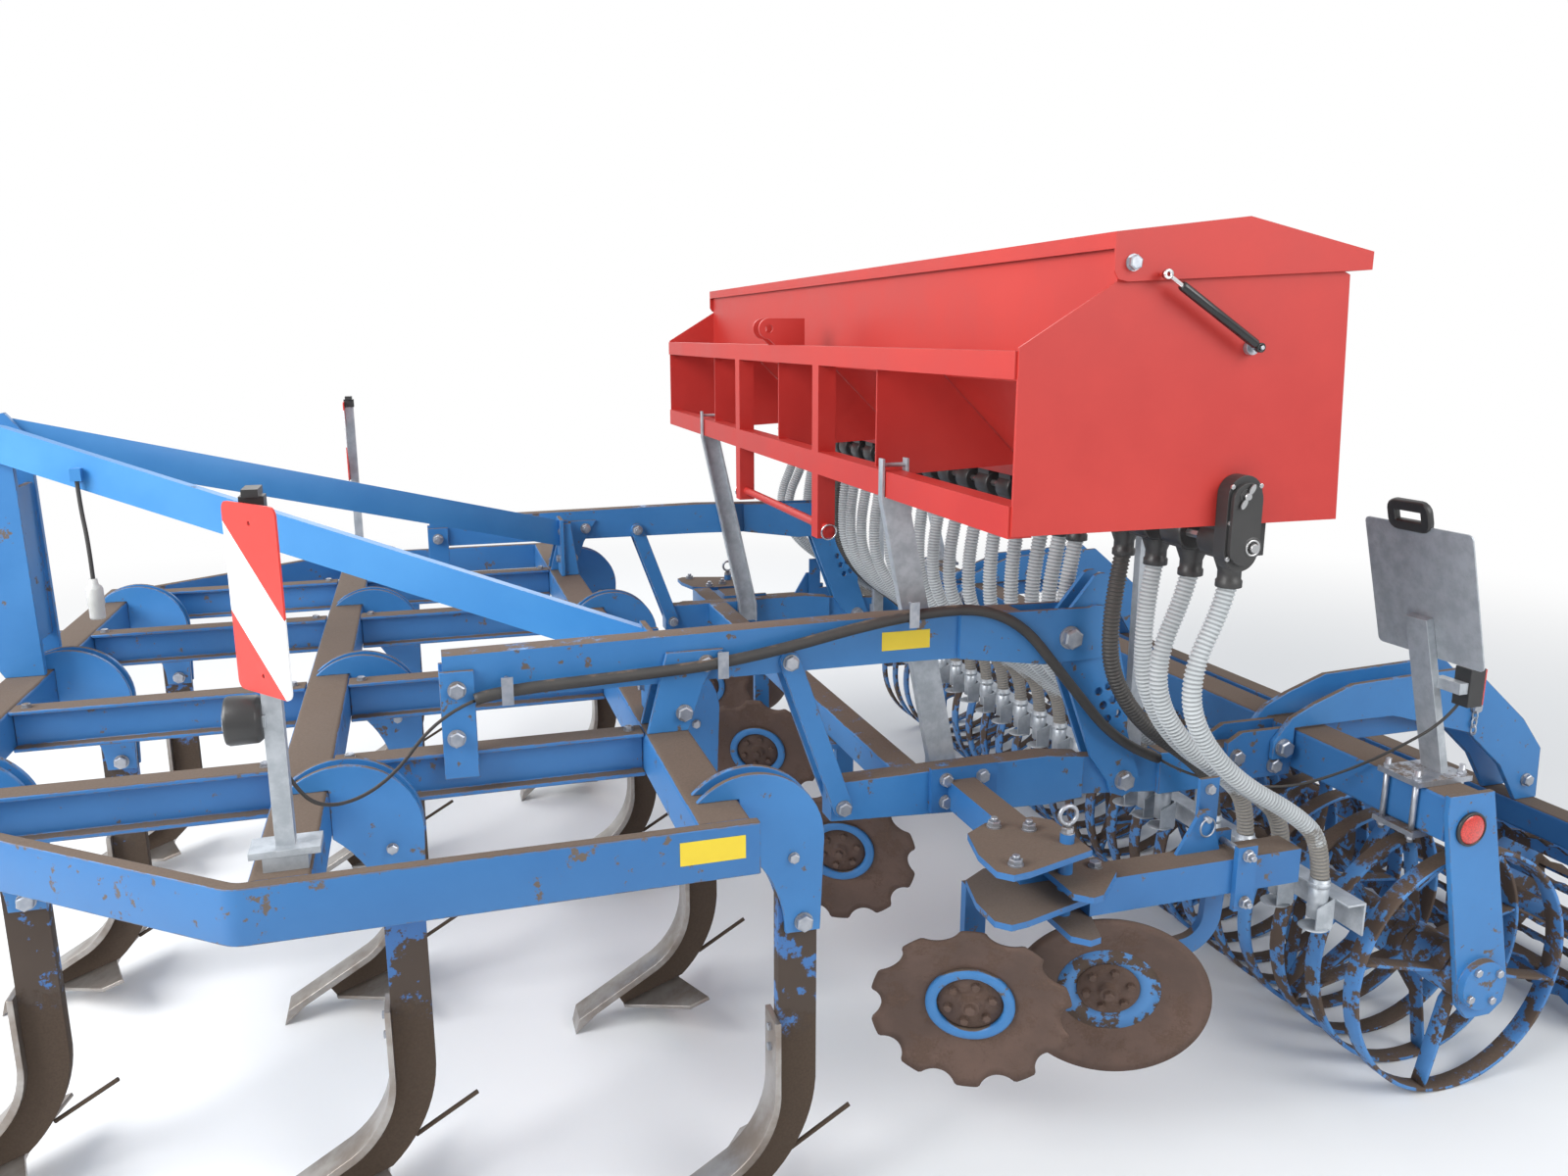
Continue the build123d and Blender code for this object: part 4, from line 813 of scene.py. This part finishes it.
@dataclass
class Levellers(Assembly):
    """Scalloped and plain discs, their hubs and the arms that carry them."""

    radius: float = 0.215
    depth: float = 0.035
    bites: int = 10
    bite: float = 0.050
    away: float = 0.240
    lean: tuple[float, float, float] = (0.444, 0.871, -0.208)
    # columns: name, centre, scalloped, mirrored
    discs: tuple[tuple[str, Point, bool, bool], ...] = (
        ("disc_inner_left", (-0.05, 0.55, 0.41), True, False),
        ("disc_inner_middle", (-0.05, -0.275, 0.41), True, False),
        ("disc_inner_right", (-0.05, -1.1, 0.41), True, False),
        ("disc_edge_front_left", (-0.06, 1.34, 0.405), True, False),
        ("disc_edge_rear_left", (-0.385, 1.368, 0.395), False, False),
        ("disc_edge_front_right", (-0.06, -1.34, 0.405), True, True),
        ("disc_edge_rear_right", (-0.385, -1.368, 0.395), False, True))

    def build(self) -> None:
        """Builds the discs and dresses their carriers."""
        self.skins(Coat.PLATE, 0.002, "disc_holders")
        self.skins(Coat.FRAME, 0.0025, "edge_arms")
        for name, centre, cut, mirrored in self.discs:
            self.disc(name, np.array(centre), unit(self.lean) * (1, -1 if mirrored else 1, 1), cut)
        self.fittings()

    def rim(self, angle: Array, cut: bool) -> Array:
        """Radius of the disc's edge: the full circle, or inside round bites centred outside it."""
        if not cut:
            return np.full_like(angle, self.radius)
        step = 2 * pi / self.bites
        off = (angle + step / 2) % step - step / 2
        root = self.bite ** 2 - (self.away * np.sin(off)) ** 2
        inner = self.away * np.cos(off) - np.sqrt(np.maximum(root, 0))
        return np.where(root > 0, np.minimum(inner, self.radius), self.radius)

    def disc(self, name: str, centre: Array, axis: Array, cut: bool) -> None:
        """A dished disc, height = depth (r / R) squared, with a blue ring, a bolted hub and a nut on it."""
        first, second = side_axes(axis)
        turns, rings = 240, 9
        edge = self.rim(2 * pi * np.arange(turns) / turns, cut)
        radius = np.linspace(0.18, 1.0, rings)[:, None] * edge
        height = self.depth * (radius / self.radius) ** 2
        front = centre + radius[..., None] * around(turns, first, second) + height[..., None] * axis
        blade, hub, core, bolts = Shape(), Shape(), Shape(), Shape()
        blade.add(np.concatenate([front, front[::-1] - axis * 0.005]), grid_faces(2 * rings, turns, True, True))
        raised = [(0.072, 0.002), (0.096, 0.005), (0.096, 0.015), (0.092, 0.018), (0.076, 0.018), (0.072, 0.014)]
        painted = [(0.060, 0.001), (0.112, 0.0078), (0.112, 0.0103), (0.060, 0.0036)]
        hub.lathe(raised if cut else painted, centre, axis, 60, True)
        core.lathe([(0, 0.026), (0.019, 0.026), (0.021, 0.012), (0.030, 0.008), (0.068, 0.008), (0.070, 0.001),
                    (0.052, -0.003), (0.050, -0.026), (0.0192, -0.026), (0.0185, -0.001), (0, -0.001)],
                   centre, axis, 40)
        bolts.bolt(centre + axis * 0.026, axis, 0.014, False)
        for spot in around(6, first, second, 0.3):
            bolts.bolt(centre + axis * 0.008 + 0.050 * spot, axis, 0.011)
        body = name + "_body"
        self.shop.piece(name + "_blade", blade, Coat.DISC, body, [name])
        self.shop.piece(name + "_hub", hub, Coat.PLATE if cut else Coat.RING, body)
        self.shop.piece(name + "_core", core, Coat.DISC, body)
        self.shop.piece(name + "_bolts", bolts, Coat.DISC, body)

    def fittings(self) -> None:
        """Bolts, eyebolts, clamps and the ring pin of both edge arms."""
        shape = Shape()
        for side in SIDES:
            out = (0, side, 0)
            for x, z in ((-0.153, 0.771), (-0.25, 0.771), (-0.153, 0.715), (-0.25, 0.715)):
                shape.bolt((x, side * 0.995, z), out, 0.018)
            for x, y in ((-0.195, 1.32), (-0.13, 1.285), (-0.085, 1.465)):
                shape.bolt((x, side * y, 0.776), UP, 0.017, stem=0.008)
                shape.bolt((x, side * y, 0.655), -UP, 0.017, stem=0.008)
            shape.bolt((-0.315, side * 1.395, 0.707), UP, 0.016)
            shape.bolt((-0.24, side * 1.40, 0.797), UP, 0.016, stem=0.010)
            shape.hoop((-0.24, side * 1.40, 0.836), AHEAD * 0.020, UP * 0.020, circle(0.005, 10), 28)
            for z in (0.705, 0.595):
                shape.bolt((-0.665, side * 1.444, z), out, 0.015, stem=0.010)
                shape.carry([(-0.665, side * 1.352, z), (-0.665, side * 1.440, z)], circle(0.007, 12), UP)
            shape.bolt((-0.622, side * 1.356, 0.830), out, 0.013)
            shape.rod(0.007, -0.008, 0.014, (-0.601, side * 1.377, 0.772), out, 14)
            shape.hoop((-0.601, side * 1.386, 0.754), (0.021, side * 0.003, 0), UP * 0.021, circle(0.0022, 8), 28)
        self.shop.piece("edge_arm_fittings", shape, Coat.BOLT)


@dataclass
class Rollers(Assembly):
    """The ring roller in front and the bar roller behind it."""

    centre: tuple[float, float] = (-1.31, 0.315)
    radius: float = 0.315
    rings: int = 24
    pitch: float = 0.125
    twist: float = 0.42
    rear_centre: tuple[float, float] = (-1.993, 0.2)
    rear_radius: float = 0.2
    bars: int = 10

    def build(self) -> None:
        """Builds both rollers and the bolts of their ends."""
        self.ring_roller()
        self.skins(Coat.FRAME, 0.0025, "cage_frame")
        self.bar_roller()
        self.end_fittings()
        self.chain()

    def ring_roller(self) -> None:
        """Flat-bar rings, each on two pairs of arms that fold round the shaft in a quarter turn."""
        x, z = self.centre
        shape, core = Shape(), Shape()
        spoke, rim = np.linspace(self.radius - 0.012, 0.085, 7), self.radius - 0.005
        reach = np.concatenate([spoke, np.full(5, 0.066), spoke[::-1]])[:, None]
        fold = np.concatenate([np.full(7, 0.0), np.linspace(0.12, pi / 2 - 0.12, 5), np.full(7, pi / 2)])[:, None]
        for k in range(self.rings):
            middle = np.array((x, (k - (self.rings - 1) / 2) * self.pitch, z))
            shape.hoop(middle, AHEAD * rim, UP * rim, bar(0.010, 0.045, 0.002), 72)
            for base in (k * self.twist, pi + k * self.twist):
                arm = middle + reach * (np.cos(base + fold) * AHEAD + np.sin(base + fold) * UP)
                shape.carry(arm, bar(0.009, 0.040, 0.002))
        self.shop.piece("ring_roller_rings", shape, Coat.RING, "front_roller_body", ["front_roller"])
        core.lathe([(0, -1.484), (0.022, -1.484), (0.022, -1.477), (0.06, -1.477), (0.06, 1.477), (0.022, 1.477),
                    (0.022, 1.484), (0, 1.484)], (x, 0, z), ACROSS, 40)
        self.shop.piece("ring_roller_shaft", core, Coat.RING, "front_roller_body")

    def bar_roller(self) -> None:
        """Toothed flat bars on seven round plates."""
        x, z = self.rear_centre
        shape = Shape()
        for y in (-1.44, -0.96, -0.48, 0.0, 0.48, 0.96, 1.44):
            shape.tube(0.03, 0.184, -0.005, 0.005, (x, y, z), ACROSS, 60, False)
        shape.rod(0.03, -1.476, 1.476, (x, 0, z), ACROSS, 28)
        teeth = np.arange(-1.45, 1.4501, 0.03)
        top = self.rear_radius - 0.010 * (np.arange(len(teeth)) % 2)
        outline = np.concatenate([np.stack([teeth, top], -1), [(1.45, 0.164), (-1.45, 0.164)]])
        for out in around(self.bars, AHEAD, UP, -pi / 2):
            shape.plate(outline, 0.010, (x, 0, z), ACROSS, out)
        self.shop.piece("bar_roller", shape, Coat.RING, "rear_roller_body", ["rear_roller"])

    def end_fittings(self) -> None:
        """Bearing bolts, clamp plates with nuts on rods, and reflectors."""
        bolts, lens, rim = Shape(), Shape(), Shape()
        for side in SIDES:
            out = (0, side, 0)
            for spot in around(4, AHEAD, UP, pi / 4 + 0.2):
                bolts.bolt(np.array((self.centre[0], side * 1.518, self.centre[1])) + 0.048 * spot, out, 0.012, False)
            low, high = sorted((side * 1.304, side * 1.426))
            for below, above in ((0.7955, 0.8085), (0.672, 0.6845)):
                bolts.box((-1.296, low, below), (-1.138, high, above))
            for y in (side * 1.322, side * 1.408):
                for x in (-1.150, -1.282):
                    bolts.carry([(x, y, 0.655), (x, y, 0.832)], circle(0.007, 12))
                    bolts.bolt((x, y, 0.8085), UP, 0.012)
                    bolts.bolt((x, y, 0.672), -UP, 0.012)
            spot = (-1.222, side * 1.5, 0.717)
            lens.lathe([(0, 0.009), (0.030, 0.0085), (0.036, 0.006), (0.036, 0), (0, 0)], spot, out, 40)
            rim.lathe([(0.036, 0), (0.041, 0), (0.041, 0.006), (0.036, 0.008)], spot, out, 40, True)
        self.shop.piece("roller_fixings", bolts, Coat.BOLT)
        self.shop.piece("reflector_lenses", lens, Coat.REFLECTOR, replaces=["reflectors"])
        self.shop.piece("reflector_rims", rim, Coat.BLACK)

    def chain(self) -> None:
        """A short safety chain hanging from the hole column of each arch, every other link turned."""
        shape = Shape()
        for side in SIDES:
            for k in range(6):
                flat, up = (ACROSS, AHEAD) if k % 2 else (AHEAD, ACROSS)
                shape.hoop((-1.755, side * (ARM_Y + 0.068), 0.842 - 0.021 * k), flat * 0.008, UP * 0.0145,
                           circle(0.0024, 6), 16, up)
        self.shop.piece("arch_chain", shape, Coat.ZINC)


@dataclass
class SeedBox(Assembly):
    """The hopper with lid, beams, legs, metering row, gearbox and gas strut."""

    shaft: tuple[float, float, float] = (-0.522, 0.0, 1.411)
    strut_low: tuple[float, float, float] = (-0.512, 1.53, 1.79)
    strut_high: tuple[float, float, float] = (-0.3, 1.53, 1.92)

    def build(self) -> None:
        """Dresses the sheet metal and builds the fittings."""
        self.skins(Coat.RED, 0.0016, "hopper_body")
        self.skins(Coat.RED, 0.0025, "hopper_beams")
        self.skins(Coat.RED, 0.0012, "hopper_lid", body="lid_body")
        self.skins(Coat.ZINC, 0.002, "hopper_legs")
        self.metering()
        self.gearbox()
        self.strut()

    def metering(self) -> None:
        """Housings with a round drum and a cone down to each hose, on one shaft."""
        shape, rod = Shape(), Shape()
        for y in [side * line for side in SIDES for line in SEED_LINES]:
            shape.box((-0.612, y - 0.033, 1.378), (-0.508, y + 0.033, 1.449))
            shape.lathe([(0, -0.036), (0.034, -0.036), (0.037, -0.031), (0.037, 0.031), (0.034, 0.036), (0, 0.036)],
                        (-0.535, y, 1.408), ACROSS, 28)
            shape.lathe([(0, 0), (0.036, 0), (0.034, -0.012), (0.0235, -0.040), (0.0235, -0.056), (0.0265, -0.060),
                         (0.0265, -0.074), (0, -0.074)], (-0.560, y, 1.384), UP, 28)
            shape.box((-0.625, y - 0.010, 1.395), (-0.608, y + 0.010, 1.44))
        self.shop.piece("metering_row", shape, Coat.BLACK, replaces=["metering_units"], bevel=0.0015)
        rod.rod(0.009, -1.551, 1.49, self.shaft, ACROSS, 6, False)
        self.shop.piece("metering_shaft", rod, Coat.SHAFT)

    def gearbox(self) -> None:
        """A case with round ends, a stepped cover, a wing nut, cover screws and the shaft's end."""
        turn = np.linspace(0, pi, 17)
        arc = 0.039 * np.stack([np.cos(turn), np.sin(turn)], -1)
        outline = np.concatenate([arc + (-0.505, 1.512), (-0.505, 1.402) - arc])
        middle = outline.mean(0)
        case, steel = Shape(), Shape()
        case.plate(outline, 0.034, (0, 1.5175, 0), AHEAD, UP)
        case.plate(middle + (outline - middle) * 0.86, 0.010, (0, 1.5395, 0), AHEAD, UP)
        x, _, z = self.shaft
        case.lathe([(0, 0), (0.022, 0), (0.022, 0.008), (0.018, 0.010), (0, 0.010)], (x, 1.536, z), ACROSS, 32)
        case.rod(0.015, 0, 0.002, (-0.499, 1.544, 1.512), ACROSS, 24)
        self.shop.piece("gearbox_case", case, Coat.BLACK, replaces=["gearbox"], bevel=0.002)
        steel.lathe([(0, 0), (0.009, 0), (0.009, 0.007), (0.008, 0.008), (0, 0.008)], (x, 1.546, z), ACROSS, 24)
        steel.tube(0.0125, 0.0165, -0.001, 0.0015, (x, 1.546, z), ACROSS, 32)
        steel.lathe([(0, 0), (0.0075, 0), (0.0065, 0.006), (0, 0.006)], (-0.499, 1.546, 1.512), ACROSS, 20)
        way, square = np.array([-0.5, 0.866]), np.array([0.866, 0.5])
        for side in SIDES:
            ear = 0.016 * side * way + around(16, 0.011 * way, 0.0055 * square)
            steel.plate(ear, 0.003, (-0.499, 1.5495, 1.512), AHEAD, UP)
        for x, z in ((-0.537, 1.53), (-0.473, 1.53), (-0.537, 1.46), (-0.473, 1.46), (-0.473, 1.39)):
            steel.bolt((x, 1.5345, z), ACROSS, 0.006, False)
        self.shop.piece("gearbox_screws", steel, Coat.SHAFT)

    def strut(self) -> None:
        """Gas strut in its two halves, its stud, the lid's pivot bolts and the ring pins of the front rod."""
        pins, pivots, tube, rod = Shape(), Shape(), Shape(), Shape()
        for side in SIDES:
            pins.hoop((-0.045, side * 0.449, 1.291), AHEAD * 0.021, (0, side * 0.004, 0.021), circle(0.0024, 8), 24)
            pivots.bolt((-0.24, side * 1.510, 1.940), (0, side, 0), 0.016)
        self.shop.piece("rod_ring_pins", pins, Coat.CHROME)
        self.shop.piece("lid_pivot_bolts", pivots, Coat.BOLT, "lid_body")
        run = np.subtract(self.strut_high, self.strut_low)
        tube.lathe([(0, 0.008), (0.007, 0.010), (0.009, 0.014), (0.009, 0.209), (0.0075, 0.213), (0.0045, 0.213),
                    (0.0045, 0.03), (0, 0.03)], self.strut_low, run, 24)
        rod.rod(0.004, 0.04, float(np.linalg.norm(run)) - 0.008, self.strut_low, run, 20)
        for shape, end in ((tube, self.strut_low), (rod, self.strut_high)):
            shape.tube(0.0044, 0.009, -0.005, 0.005, end, ACROSS, 24)
        self.shop.piece("strut_tube", tube, Coat.STRUT, "strut_cylinder_body", ["strut_cylinder"])
        self.shop.piece("strut_bright_rod", rod, Coat.CHROME, "strut_rod_body", ["strut_rod"])
        self.skins(Coat.BOLT, 0.0008, "strut_stud")


@dataclass
class SeedLines(Assembly):
    """Ribbed hoses, sockets and the angle rail."""

    dark: tuple[float, ...] = (1.0625, -0.857)
    radius: float = 0.0188
    rib: float = 0.11
    pitch: float = 0.0092
    sides: int = 14

    def build(self) -> None:
        """Builds hoses and sockets."""
        self.skins(Coat.ZINC, 0.0012, "seed_rail")
        every = [side * line for side in SIDES for line in SEED_LINES]
        pale = [y for y in every if y not in self.dark]
        for index in range(3):
            self.hoses("pale_hoses_%d" % index, pale[index::3], Coat.HOSE, ["seed_hoses"] if index == 0 else [])
        self.hoses("dark_hoses", self.dark, Coat.DARK_HOSE, [])
        self.sockets(every)

    def hoses(self, name: str, places: Sequence[float], coat: Coat, replaces: Sequence[str]) -> None:
        """Ribbed tubes: radius = mean + rib cos(2 pi s / pitch) along the length s; each point also keeps a
        painted-shade share that is one in the valleys.
        """
        shape = Shape()
        valley_shade = []
        for y in places:
            out = (0.055 if abs(y) > 1.25 else 0.010) + 0.006 * np.sin(y * 9.0)
            line = soft_line([(-0.56, y, 1.325), (-0.550, y, 1.27), (-0.545 + out, y, 1.14), (-0.555 + out, y, 1.02),
                              (-0.640 + out / 2, y, 0.885), (-0.800, y, 0.775), (-0.868, y, 0.70),
                              (-0.873, y, 0.600)], 14)
            path, along = even_line(line, self.pitch / 4)
            wave = np.cos(2 * pi * along / self.pitch)
            shape.carry(path, circle(self.radius, self.sides), scale=1.0 + self.rib * wave)
            # painted shade share: one in the valleys between ribs, nought on the crests
            valley_shade.append(np.repeat((1 - wave) / 2, self.sides))
        mesh = shape.mesh(name)
        # point attribute that carries the painted shade of the rib valleys
        mesh.attributes.new("groove_shade", "FLOAT", "POINT").data.foreach_set(
            "value", np.concatenate(valley_shade).astype(np.float32))
        self.shop.piece(name, mesh, coat, replaces=replaces)

    def sockets(self, places: Sequence[float]) -> None:
        """Short socket tube with hose clamp, folded bracket and round dish under each hose."""
        shape = Shape()
        for y in places:
            shape.tube(0.0195, 0.0217, 0, 0.095, (-0.873, y, 0.525), UP, 24)
            shape.tube(0.0217, 0.0236, 0, 0.012, (-0.873, y, 0.60), UP, 24)
            shape.bolt((-0.852, y + 0.014, 0.606), (1, 0.4, 0), 0.006, False)
            shape.plate(rectangle(-0.020, 0.020, 0, 0.08), 0.005, (-0.897, y, 0.495), ACROSS, UP)
            shape.plate([(-0.898, 0.503), (-0.852, 0.503), (-0.852, 0.556), (-0.898, 0.575)], 0.003,
                        (0, y + 0.0235, 0), AHEAD, UP)
            shape.bolt((-0.894, y, 0.56), AHEAD, 0.008)
            shape.lathe([(0, 0.002), (0.028, 0.001), (0.0315, -0.001), (0.033, -0.003), (0.031, -0.0035), (0, -0.001)],
                        (-0.868, y, 0.503), UP, 30)
        self.shop.piece("socket_row", shape, Coat.ZINC, replaces=["seed_sockets"])


@dataclass
class Boards(Assembly):
    """Front and rear boards with posts and lamps; the rear posts lean forward."""

    lean: Array = field(default_factory=lambda: unit((sin(radians(15)), 0, cos(radians(15)))))

    def build(self) -> None:
        """Dresses the posts and builds boards and lamps."""
        self.skins(Coat.ZINC, 0.0018, "front_posts", "rear_posts")
        board, sheet = Shape(), Shape()
        outline, holes = rounded_sheet(0.141, 0.300, 0.014), [(0, 0.12, 0.004), (0, -0.12, 0.004)]
        board.plate(outline, 0.0035, (1.2538, 1.4841, 1.415), (-0.62, 0.785, 0), UP, holes)
        board.plate(outline, 0.0035, (1.269, -1.430, 1.415), ACROSS, UP, holes)
        self.shop.piece("banded_boards", board, Coat.BOARD, replaces=["front_boards"])
        for side in SIDES:
            sheet.plate(rounded_sheet(0.295, 0.318, 0.012), 0.0035, (-1.1408, side * 1.371, 1.2475), ACROSS, self.lean)
        self.shop.piece("rear_sheets", sheet, Coat.ZINC, replaces=["rear_boards"])
        self.handles()
        self.lamps()

    def handles(self) -> None:
        """Black frames to grip the rear boards by, and caps with a bar on the front posts."""
        shape = Shape()
        for side in SIDES:
            top = np.array((-1.1408, side * 1.356, 1.2475)) + 0.180 * self.lean
            loop = rounded_sheet(0.0925, 0.047, 0.012)
            shape.carry(top + loop[:, :1] * ACROSS + loop[:, 1:] * self.lean, bar(0.025, 0.0165, 0.003),
                        np.cross(ACROSS, self.lean), True)
            y = side * 1.438
            shape.box((1.234, y - 0.018, 1.543), (1.270, y + 0.018, 1.572))
            shape.box((1.240, y - 0.030, 1.572), (1.264, y + 0.030, 1.584))
        self.shop.piece("board_grips", shape, Coat.BLACK, bevel=0.0015)

    def lamps(self) -> None:
        """Round front lamps in rubber cups, box lamps with ribbed red lenses behind."""
        cup, lens, red, bracket = Shape(), Shape(), Shape(), Shape()
        for side in SIDES:
            y, back = side * 1.438, side * 1.437
            cup.lathe([(0, 0), (0.032, 0), (0.039, 0.008), (0.040, 0.050), (0.037, 0.056), (0.034, 0.054), (0, 0.050)],
                      (1.267, y, 1.213), AHEAD, 36)
            lens.lathe([(0, 0.060), (0.02, 0.059), (0.031, 0.055), (0.0335, 0.050), (0, 0.049)], (1.267, y, 1.213),
                       AHEAD, 36)
            cup.box((-1.256, back - 0.022, 0.991), (-1.214, back + 0.022, 1.081))
            red.box((-1.2615, back - 0.0195, 0.994), (-1.255, back + 0.0195, 1.078))
            for z in 1.002 + 0.0135 * np.arange(6):
                red.box((-1.2635, back - 0.018, z), (-1.2615, back + 0.018, z + 0.005))
            bracket.box((1.262, y - 0.02, 1.203), (1.268, y + 0.02, 1.223))
        self.shop.piece("lamp_cups", cup, Coat.BLACK, replaces=["front_lamps", "rear_lamps"], bevel=0.0015)
        self.shop.piece("lamp_lenses", lens, Coat.CLEAR)
        self.shop.piece("rear_lamp_lenses", red, Coat.REFLECTOR)
        self.shop.piece("lamp_brackets", bracket, Coat.ZINC, bevel=0.001)


@dataclass
class Wiring(Assembly):
    """Sleeve along the near arm, thin leads and the hanging plug."""

    y: float = 1.005
    cord_line: tuple[Point, ...] = (
        (1.795, 0.212, 1.470), (1.795, 0.212, 1.410), (1.783, 0.230, 1.320), (1.783, 0.230, 1.232))

    def build(self) -> None:
        """Builds sleeve, clips, leads, cord and plug."""
        y = self.y
        sleeve, clips, leads = Shape(), Shape(), Shape()
        sleeve.carry(soft_line([(0.925, y, 1.078), (0.88, y, 1.092), (0.62, y, 1.10), (0.358, y, 1.112),
                                (-0.05, y, 1.194), (-0.30, y, 1.186), (-0.47, y, 0.985), (-0.619, y, 0.812),
                                (-0.74, y, 0.762)], 12), circle(0.0128, 16))
        self.shop.piece("arm_sleeve", sleeve, Coat.RUBBER, replaces=["cable_sleeve"])
        for x, z in ((0.86, 1.094), (0.40, 1.110), (-0.05, 1.19)):
            clips.plate(rectangle(-0.012, 0.012, -0.03, 0.03), 0.003, (x, y + 0.0145, z), AHEAD, UP)
            for dz in (-0.022, 0.022):
                clips.rod(0.005, 0, 0.0255, (x, 0.994, z + dz), ACROSS, 10)
        self.shop.piece("sleeve_clips", clips, Coat.BOLT)
        for guide in (((0.92, y, 1.078), (1.00, 1.03, 1.06), (1.10, 1.2, 0.985), (1.20, 1.36, 1.01),
                       (1.25, 1.405, 1.10), (1.272, 1.425, 1.20)),
                      ((-0.74, y, 0.762), (-0.80, 1.05, 0.72), (-1.00, 1.15, 0.70), (-1.12, 1.22, 0.76),
                       (-1.15, 1.34, 0.86), (-1.20, 1.42, 0.95), (-1.225, 1.43, 1.00))):
            leads.carry(soft_line(guide, 10), circle(0.0035, 8), (1, -1, 0))
        self.shop.piece("lamp_leads", leads, Coat.RUBBER)
        self.cord()

    def cord(self) -> None:
        """The cord that hangs from the near brace, with its plug."""
        curve = bpy.data.curves.new("hanging_cord", "CURVE")
        curve.dimensions = "3D"
        spline = curve.splines.new("NURBS")
        spline.points.add(len(self.cord_line) - 1)
        for target, place in zip(spline.points, self.cord_line):
            target.co = (*place, 1.0)
        spline.order_u, spline.use_endpoint_u, spline.resolution_u = 3, True, 12
        curve.bevel_depth, curve.bevel_resolution, curve.use_fill_caps = 0.005, 3, True
        curve.materials.append(self.shop.coat(Coat.RUBBER))
        cord = bpy.data.objects.new("hanging_cord", curve)
        bpy.context.scene.collection.objects.link(cord)
        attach(cord, ROOT)
        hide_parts("plug_cable")
        plug = Shape()
        plug.lathe([(0, 0.050), (0.009, 0.050), (0.0105, 0.036), (0.017, 0.030), (0.019, 0.024), (0.019, -0.014),
                    (0.0175, -0.018), (0.0175, -0.046), (0.0155, -0.050), (0.0135, -0.050), (0.0135, -0.022),
                    (0, -0.022)], (1.783, 0.230, 1.182), UP, 32)
        made = self.shop.piece("cord_plug", plug, Coat.GREY, replaces=["cable_plug"])


@dataclass
class Studio:
    """Floor, light and camera."""

    eye: tuple[float, float, float] = (1.0, 3.375, 1.812)
    yaw: float = radians(17.4)
    pitch: float = radians(12.3)
    focal: float = 1181.0
    # columns: place, aim, size, power
    lamps: tuple[tuple[Point, Point, float, float], ...] = (
        ((5.4, 1.9, 4.0), (-0.2, 0.0, 1.2), 3.6, 430.0), ((-2.6, 5.2, 3.8), (-0.6, 0.0, 0.8), 3.0, 150.0),
        ((0.0, -5.0, 4.5), (0.0, 0.0, 1.0), 4.0, 110.0))

    def build(self) -> None:
        """Sets up the studio."""
        self.floor()
        self.sky()
        for index, (place, aim, size, power) in enumerate(self.lamps):
            lamp = bpy.data.lights.new("soft_%d" % index, "AREA")
            lamp.energy, lamp.size = power, size
            self.aimed(lamp, place, np.subtract(aim, place))
        bpy.context.scene.view_settings.view_transform = "Standard"
        data = bpy.data.cameras.new("eye")
        data.sensor_width, data.sensor_fit, data.lens = 36.0, "HORIZONTAL", 36.0 * self.focal / 1600
        way = (-sin(self.yaw) * cos(self.pitch), -cos(self.yaw) * cos(self.pitch), -sin(self.pitch))
        bpy.context.scene.camera = self.aimed(data, self.eye, way)

    def aimed(self, data: bpy.types.ID, place: Point, way: Point) -> bpy.types.Object:
        """Puts a lamp or the camera at a place, turned to look along a way."""
        made = bpy.data.objects.new(data.name, data)
        made.location = place
        made.rotation_euler = Vector(way).to_track_quat("-Z", "Y").to_euler()
        bpy.context.scene.collection.objects.link(made)
        return made

    def floor(self) -> None:
        """A plain pale floor that runs out to white for the eye, from 3 m to 8 m off the middle."""
        shape = Shape()
        shape.plate(rectangle(-30, 30, -30, 30), 0.02, (0, 0, -0.0101), AHEAD, ACROSS)
        mesh = shape.mesh("floor")
        paint, nodes, shader = new_material("floor_pale")
        nodes.feed(shader, {"Base Color": (0.86, 0.86, 0.85, 1), "Roughness": 0.9})
        away = nodes.add("ShaderNodeVectorMath", {0: nodes.place()}, operation="LENGTH").outputs["Value"]
        far = nodes.times(nodes.ramp(away, 3.0, 8.0), nodes.add("ShaderNodeLightPath").outputs["Is Camera Ray"])
        glow = nodes.add("ShaderNodeEmission", {"Color": (1, 1, 1, 1)})
        mix = nodes.add("ShaderNodeMixShader", {0: far, 1: shader.outputs[0], 2: glow.outputs[0]})
        nodes.feed(nodes.tree.nodes["Material Output"], {"Surface": mix.outputs[0]})
        mesh.materials.append(paint)
        made = bpy.data.objects.new("floor", mesh)
        bpy.context.scene.collection.objects.link(made)

    def sky(self) -> None:
        """A bright sky all round that the eye, gloss and glass see as white."""
        world = bpy.data.worlds.new("studio")
        world.use_nodes = True
        nodes = Nodes(world.node_tree)
        sky = nodes.tree.nodes["Background"]
        nodes.feed(sky, {"Color": (0.88, 0.93, 1.0, 1), "Strength": 0.62})
        white = nodes.add("ShaderNodeBackground", {"Color": (1, 1, 1, 1)})
        path = nodes.add("ShaderNodeLightPath").outputs
        seen = path["Is Camera Ray"]
        for kind in ("Is Glossy Ray", "Is Transmission Ray"):
            seen = nodes.maths("MAXIMUM", seen, path[kind])
        mix = nodes.add("ShaderNodeMixShader", {0: seen, 1: sky.outputs[0], 2: white.outputs[0]})
        nodes.feed(nodes.tree.nodes["World Output"], {"Surface": mix.outputs[0]})
        bpy.context.scene.world = world


def main() -> None:
    """Builds every sub-assembly in order, then the studio."""
    logging.basicConfig(level=logging.INFO, format="%(message)s")
    shop = Workshop()
    for part in (MainFrame(shop), Tines(shop), Linkage(shop), Levellers(shop), Rollers(shop), SeedBox(shop),
                 SeedLines(shop), Boards(shop), Wiring(shop)):
        part.build()
        log.info("done: %s", type(part).__name__)
    Studio().build()


if __name__ == "__main__":
    main()
